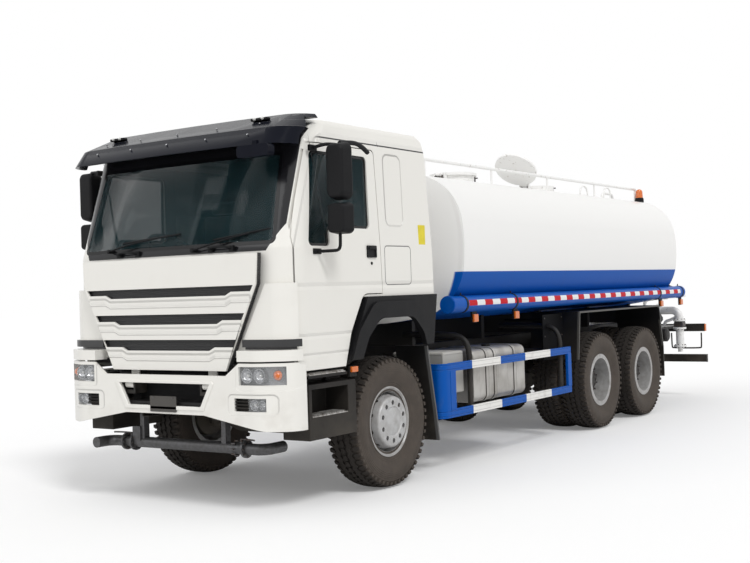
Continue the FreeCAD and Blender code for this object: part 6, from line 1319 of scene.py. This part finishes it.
for sign in (1, -1):
    for y_span in ((-2.470, -2.372), (0.052, 0.140)):
        ends.append(block((1.212 * sign, 1.2435 * sign), y_span, (0.570, 0.930), "x"))
    ends.append(prism(on_side(curl_line, sign), 0.500, 1.000))
    for y in (-1.985, 0.015):
        for shift, thick, reach in ((0, 0.028, 0), (0.075, 0.013, 0.030)):
            bend = ((1.170 - reach, 0.560), (1.170 - reach, 0.900), (1.170 - reach, 1.100 - reach),
                    (1.110 - reach, 1.215 - reach), (0.930, 1.245 - reach), (rail_face, 1.245 - reach))
            hangers.append(tube([(x, y + shift, z) for x, z in on_side(bend, sign)], thick))
settle("guard_ends", rounded(joined(*ends), 0.004, 3), "chassis", guard_blocks)
settle("guard_hangers", joined(*hangers), "chassis", chassis_black)

# Fuel tank, silencer, battery box and air tanks: a brushed aluminium tank held by steel straps over
# black rubber strips, grey painted sheet steel for the box and the silencer, and black air tanks.
brushed = Finish("brushed_aluminium")
strokes = brushed.noise(1.0, 4.0, brushed.stretched(900, 20, 20))
stains = brushed.noise(3.5, 6.0)
panels = line_at(brushed, (brushed.place("y") * 5.2) % 1 - 0.5, 0.030, 0.02)
metal_colour = brushed.colours(brushed.ramp(stains, 0.38, 0.72), (0.50, 0.485, 0.46), (0.27, 0.25, 0.225))
brushed_aluminium = brushed.coat_of(metal_colour, 0.34 + strokes * 0.18, strokes * 0.3 + panels, 0.0025,
                                    metallic=0.55)
dressed("fuel_tank", brushed_aluminium, 0.012, 3)
pale = Finish("pale_grey_steel")
pale_grey = pale.coat_of(dusted(pale, (0.46, 0.45, 0.42), 1.15, 0.5), 0.45 + pale.noise(12.0, 4.0) * 0.2,
                         pale.noise(180.0, 2.0), 0.0003)
dressed("battery_box", pale_grey, 0.014, 3)
for node, finish, slot_name in (("silencer", pale_grey, "pump_steel"),
                                ("air_tanks", chassis_black, "grey_paint")):
    dressed(node, finish, 0.010, 3)


def tank_ring(grow):
    """The outline of the fuel tank's end, grown outwards by a little."""
    x0, x1, z0, z1, corner = 0.620 - grow, 1.190 + grow, 0.583 - grow, 1.090 + grow, 0.070 + grow
    line = []
    for corner_x, corner_z, first in ((x1 - corner, z1 - corner, 0), (x0 + corner, z1 - corner, 90),
                                      (x0 + corner, z0 + corner, 180), (x1 - corner, z0 + corner, 270)):
        for step_on in range(0, 91, 15):
            angle = math.radians(first + step_on)
            line.append((corner_x + corner * math.cos(angle), corner_z + corner * math.sin(angle)))
    return line


strap_places = (-1.690, -1.526, -1.110)
rubber_bands = [ring_of(tank_ring(-0.001), tank_ring(0.0035), y - 0.030, y + 0.030) for y in strap_places]
steel_bands = [ring_of(tank_ring(0.003), tank_ring(0.0065), y - 0.022, y + 0.022) for y in strap_places]
settle("tank_rubber_bands", joined(*rubber_bands), "chassis", chassis_black)
settle("tank_steel_bands", joined(*steel_bands), "chassis", brushed_aluminium)
cap_line = [(1.085, 0.001), (1.085, 0.045), (1.108, 0.045), (1.112, 0.040), (1.112, 0.001)]
button_line = [(1.085, 0.001), (1.085, 0.02), (1.101, 0.02), (1.101, 0.001)]
filler = [turned_mesh(cap_line, 28, "z", (0.980, -1.320, 0)),
          turned_mesh(button_line, 20, "z", (0.980, -1.320, 0))]
settle("fuel_filler", rounded(joined(*filler), 0.003), "chassis", black_plastic)
lid = rounded(block((0.560, 1.123), (-2.392, -2.018), (1.052, 1.094)), 0.020, 4)
settle("battery_lid_skin", lid, "chassis", pale_grey)

# Rear fenders and rear bars: black sheet panels in a frame of grey angle steel, with rubber flaps
# behind. The underrun bar and the lamp bar are square steel tube in chassis black.
fender = Finish("rear_fender_black")
fender_x, fender_y, fender_z = fender.place("x"), fender.place("y"), fender.place("z")
front_post = fender.ramp(abs(fender_y - 0.440), 0.052, 0.048)
rear_post = fender.ramp(abs(fender_y - 3.070), 0.062, 0.058)
frame_line = fender.ramp(abs(fender_x), 1.178, 1.182) * (fender.ramp(fender_z, 1.338, 1.342) + front_post
                                                         + rear_post)
frame_line = fender.sum("MINIMUM", frame_line, 1) * fender.ramp(fender_z, 0.83, 0.84)
fender_colour = fender.colours(frame_line * 0.9, dusted(fender, (0.008, 0.008, 0.009), 1.2),
                               (0.085, 0.082, 0.075))
fender_black = fender.coat_of(fender_colour, 0.42, fender.noise(120.0, 3.0), 0.0005, specular_ior_level=0.25)
dressed("rear_fenders", fender_black, 0.003)
for node in ("underrun_bar", "rear_lamp_bar"):
    dressed(node, chassis_black, 0.005)

# Rear platform: a sheet of raised-pattern plate between the frame rails, painted black and welded
# to its feet.
plate_floor = Finish("pattern_plate")
floor_x, floor_y = plate_floor.place("x"), plate_floor.place("y")
cell = (floor_x * 28) % 1 - 0.5
other_cell = (floor_y * 28) % 1 - 0.5
checks = plate_floor.ramp(abs(cell) + abs(other_cell) * 2.6, 0.55, 0.30)
trodden = dusted(plate_floor, (0.010, 0.010, 0.011), 1.3)
pattern_colour = plate_floor.colours(checks * 0.25, trodden, (0.20, 0.19, 0.18))
pattern_plate = plate_floor.coat_of(pattern_colour, 0.45, checks, 0.0015, specular_ior_level=0.3)
dressed("rear_platform", pattern_plate, 0.003)

# Delivery pipes: white painted tube with bolted flanges and thin branch pipes, and a hand valve of
# bare steel. The pump housing on the platform belongs to them.
dressed("delivery_pipes", white_paint, 0.004)
pipe_x, pipe_y, pipe_z = 1.065, 4.140, 1.280
bolt_circle, flange_bolt_count = 0.071, 8


def flange_line(along):
    """The outline of a flange that stands at a place along its pipe."""
    return [(along - 0.012, 0.054), (along - 0.012, 0.088), (along + 0.012, 0.088), (along + 0.012, 0.054)]


flanges, flange_bolts = [], []
bolt_turn = math.tau / flange_bolt_count
bolt_y = pipe_y + bolt_circle
for z in (0.772, 1.020, 1.130):
    centre = (pipe_x, pipe_y, 0)
    flanges.append(rounded(turned_mesh(flange_line(z), 40, "z", centre), 0.002))
    bolt = rounded(round_bar((pipe_x, bolt_y, z - 0.022), (pipe_x, bolt_y, z + 0.022), 0.008, 6), 0.001, 1)
    flange_bolts.append(repeated(bolt, nut_steel, flange_bolt_count, turn=(0, 0, bolt_turn), centre=centre))
for x in (0.300, 0.760):
    centre = (0, pipe_y, pipe_z)
    flanges.append(rounded(turned_mesh(flange_line(x), 40, "x", centre), 0.002))
    bolt = rounded(round_bar((x - 0.022, bolt_y, pipe_z), (x + 0.022, bolt_y, pipe_z), 0.008, 6), 0.001, 1)
    flange_bolts.append(repeated(bolt, nut_steel, flange_bolt_count, turn=(bolt_turn, 0, 0), centre=centre))
upper_branch = [(0.560, pipe_y, 1.290), (0.560, pipe_y, 1.390), (0.600, 4.150, 1.440), (0.900, 4.160, 1.452)]
foot_pipe = [(pipe_x, pipe_y, 0.755), (pipe_x, pipe_y, 0.690)]
side_branch = [(pipe_x, pipe_y, 1.200), (0.930, pipe_y, 1.130), (0.860, pipe_y, 1.120),
               (0.840, pipe_y, 1.060)]
branch = [tube(upper_branch, 0.024, 16), tube(foot_pipe, 0.034, 20), tube(side_branch, 0.022, 14)]
settle("delivery_flanges", joined(*flanges, *branch), "chassis", white_paint)
settle("delivery_bolts", joined(*flange_bolts), "chassis", nut_steel)
valve_z = 1.075
lever_plate = [(1.050, 4.240), (1.080, 4.240), (1.085, 4.252), (1.045, 4.252)]
valve = [rounded(round_bar((pipe_x, 4.080, valve_z), (pipe_x, 4.200, valve_z), 0.068, 24), 0.006),
         round_bar((pipe_x, 4.200, valve_z), (pipe_x, 4.255, valve_z), 0.012, 12),
         rounded(prism(lever_plate, 1.020, 1.185), 0.003)]
settle("hand_valve", joined(*valve), "chassis", nut_steel)

# Rear lamps: a black moulded shell at each end of the lamp bar holds two red lenses and an amber
# one. An amber side lamp and a tube loop that guards them are fixed to each side. A bare plate is
# between them, and red and white tape is stuck to the underrun bar.
red_lens_finish = Finish("red_lens")
ribs = abs((red_lens_finish.place("x") * 60) % 1 - 0.5)
red_colour = red_lens_finish.colours(ribs, (0.42, 0.008, 0.010), (0.26, 0.004, 0.006))
red_lens = red_lens_finish.coat_of(red_colour, 0.16, ribs, 0.001, specular_ior_level=0.35)
reds, ambers, shells, loops = [], [], [], []
loop_line = ((0.720, 0.925), (0.720, 0.720), (0.735, 0.705), (1.145, 0.705), (1.160, 0.720), (1.160, 0.925))
for sign in (1, -1):
    for near, far, kind in ((1.090, 1.180, ambers), (0.990, 1.080, reds), (0.900, 0.980, reds)):
        lens = block((near * sign, far * sign), (4.826, 4.842), (0.952, 1.048), "x")
        kind.append(rounded(lens, 0.004, 3))
    shells.append(rounded(block((0.888 * sign, 1.192 * sign), (4.815, 4.832), (0.945, 1.055), "x"), 0.004))
    side_lens = block((1.204 * sign, 1.220 * sign), (4.764, 4.820), (0.948, 1.052), "x")
    ambers.append(rounded(side_lens, 0.006, 3))
    loops.append(tube([(x, 4.760, z) for x, z in on_side(loop_line, sign)], 0.011))
    bar_end = block((1.204 * sign, 1.2085 * sign), (4.818, 4.877), (0.498, 0.612), "x")
    loops.append(rounded(bar_end, 0.002))
settle("rear_lamp_shells", joined(*shells), "chassis", black_plastic)
settle("rear_lamp_reds", joined(*reds), "chassis", red_lens)
settle("rear_lamp_ambers", joined(*ambers), "chassis", amber_lens)
settle("lamp_guard_loops", joined(*loops), "chassis", chassis_black)
rear_plate = rounded(block((-0.220, 0.220), (4.818, 4.826), (0.935, 1.045), "y"), 0.003)
settle("rear_plate_blank", rear_plate, "chassis", plate_finish)
bar_stripes = Finish("bar_stripes")
slant = ((bar_stripes.place("x") + bar_stripes.place("z")) / 0.16) % 1
stripes = bar_stripes.ramp(abs(slant - 0.5), 0.249, 0.251)
stripe_colour = bar_stripes.colours(stripes, (0.78, 0.78, 0.78), TAPE_RED)
tape_strip = bar_stripes.coat_of(stripe_colour, 0.4, stripes, 0.0002)
strip = block((-1.150, 1.150), (4.872, 4.877), (0.525, 0.585), "y")
settle("underrun_tape", rounded(strip, 0.001), "chassis", tape_strip)

# Rear air chambers and flap stays: black pressed cylinders on round bars from the frame, and sheet
# steel brackets that hold the flaps, behind the rear wheels.
chamber_line = [(0.990, 0.001), (0.990, 0.070), (1.005, 0.088), (1.060, 0.088), (1.066, 0.096),
                (1.078, 0.096), (1.084, 0.088), (1.140, 0.088), (1.158, 0.070), (1.162, 0.001)]
bracket_line = [(3.105, 1.340), (3.330, 1.200), (3.330, 1.165), (3.105, 1.070)]
chamber_y, chamber_z = 3.420, 0.960
chambers, stays = [], []
for sign in (1, -1):
    chambers.append(turned_mesh(on_side(chamber_line, sign), 36, "x", (0, chamber_y, chamber_z)))
    rail_end_point = (rail_face * sign, chamber_y, chamber_z)
    stays.append(round_bar(rail_end_point, (1.000 * sign, chamber_y, chamber_z), 0.026, 16))
    stays.append(rounded(prism(bracket_line, 1.120 * sign, 1.126 * sign, "x"), 0.001, 1))
chamber_parts = [rounded(chamber, 0.003) for chamber in chambers] + stays
settle("rear_chambers", joined(*chamber_parts), "chassis", chassis_black)

# Tool board and stubs: a bolted black sheet on each side between the guard and the tank, and a
# white pipe stub behind each hose tube.
board_x = 1.020
boards, heads, stubs = [], [], []
for sign in (1, -1):
    sheet = block((board_x * sign, 1.026 * sign), (-0.100, 0.408), (0.860, 1.360), "x")
    boards.append(rounded(sheet, 0.002))
    for y in (-0.060, 0.370):
        for z in (0.900, 1.120, 1.320):
            heads.append(round_bar((board_x * sign, y, z), (1.034 * sign, y, z), 0.009, 6))
    for z in (0.900, 1.300):
        boards.append(round_bar((rail_face * sign, 0.150, z), (board_x * sign, 0.150, z), 0.014, 12))
    stubs.append(tube([(tube_x * sign, 4.020, 1.470), (tube_x * sign, 4.230, 1.470)], 0.016, 14))
board = Finish("board_black")
board_black = board.coat_of(dusted(board, (0.006, 0.006, 0.007), 0.9, 0.4), 0.55, board.noise(60.0, 3.0),
                            0.0006, specular_ior_level=0.06)
settle("tool_boards", joined(*boards), "chassis", board_black)
settle("tool_board_bolts", joined(*heads), "chassis", nut_steel)
settle("tube_stubs", joined(*stubs), "chassis", white_paint)

# Spray bar: dull galvanised steel pipe across the nose, hung from the chassis, with bolted flanges
# and a hand valve on each side. Both its ends are open.
galvanised = Finish("galvanised_steel")
spangle = galvanised.noise(38.0, 2.0)
zinc = galvanised.colours(galvanised.ramp(spangle, 0.30, 0.70), (0.105, 0.105, 0.110), (0.075, 0.073, 0.072))
galvanised_steel = galvanised.coat_of(zinc, 0.30 + spangle * 0.2, galvanised.noise(150.0, 3.0), 0.0003,
                                      metallic=0.55)
dressed("spray_bar", galvanised_steel, 0.003)
bar_bolts, levers = [], []
bar_y, bar_z = -4.650, 0.480
bolt_z = bar_z + 0.058
valve_x = 0.612
for sign in (1, -1):
    for x in (valve_x - 0.051, valve_x + 0.051):
        bolt = round_bar(((x - 0.019) * sign, bar_y, bolt_z), ((x + 0.019) * sign, bar_y, bolt_z), 0.0075, 6)
        bar_bolts.append(repeated(rounded(bolt, 0.001, 1), nut_steel, 8, turn=(math.tau / 8, 0, 0),
                                  centre=(0, bar_y, bar_z)))
    levers.append(round_bar((valve_x * sign, bar_y, 0.520), (valve_x * sign, bar_y, 0.556), 0.011, 12))
    lever_line = ((valve_x, bar_y, 0.552), (0.700, -4.670, 0.558), (0.780, -4.690, 0.556))
    levers.append(tube(on_side(lever_line, sign), 0.007))
settle("spray_bolts", joined(*bar_bolts), "chassis", nut_steel)
settle("spray_levers", joined(*levers), "chassis", nut_steel)
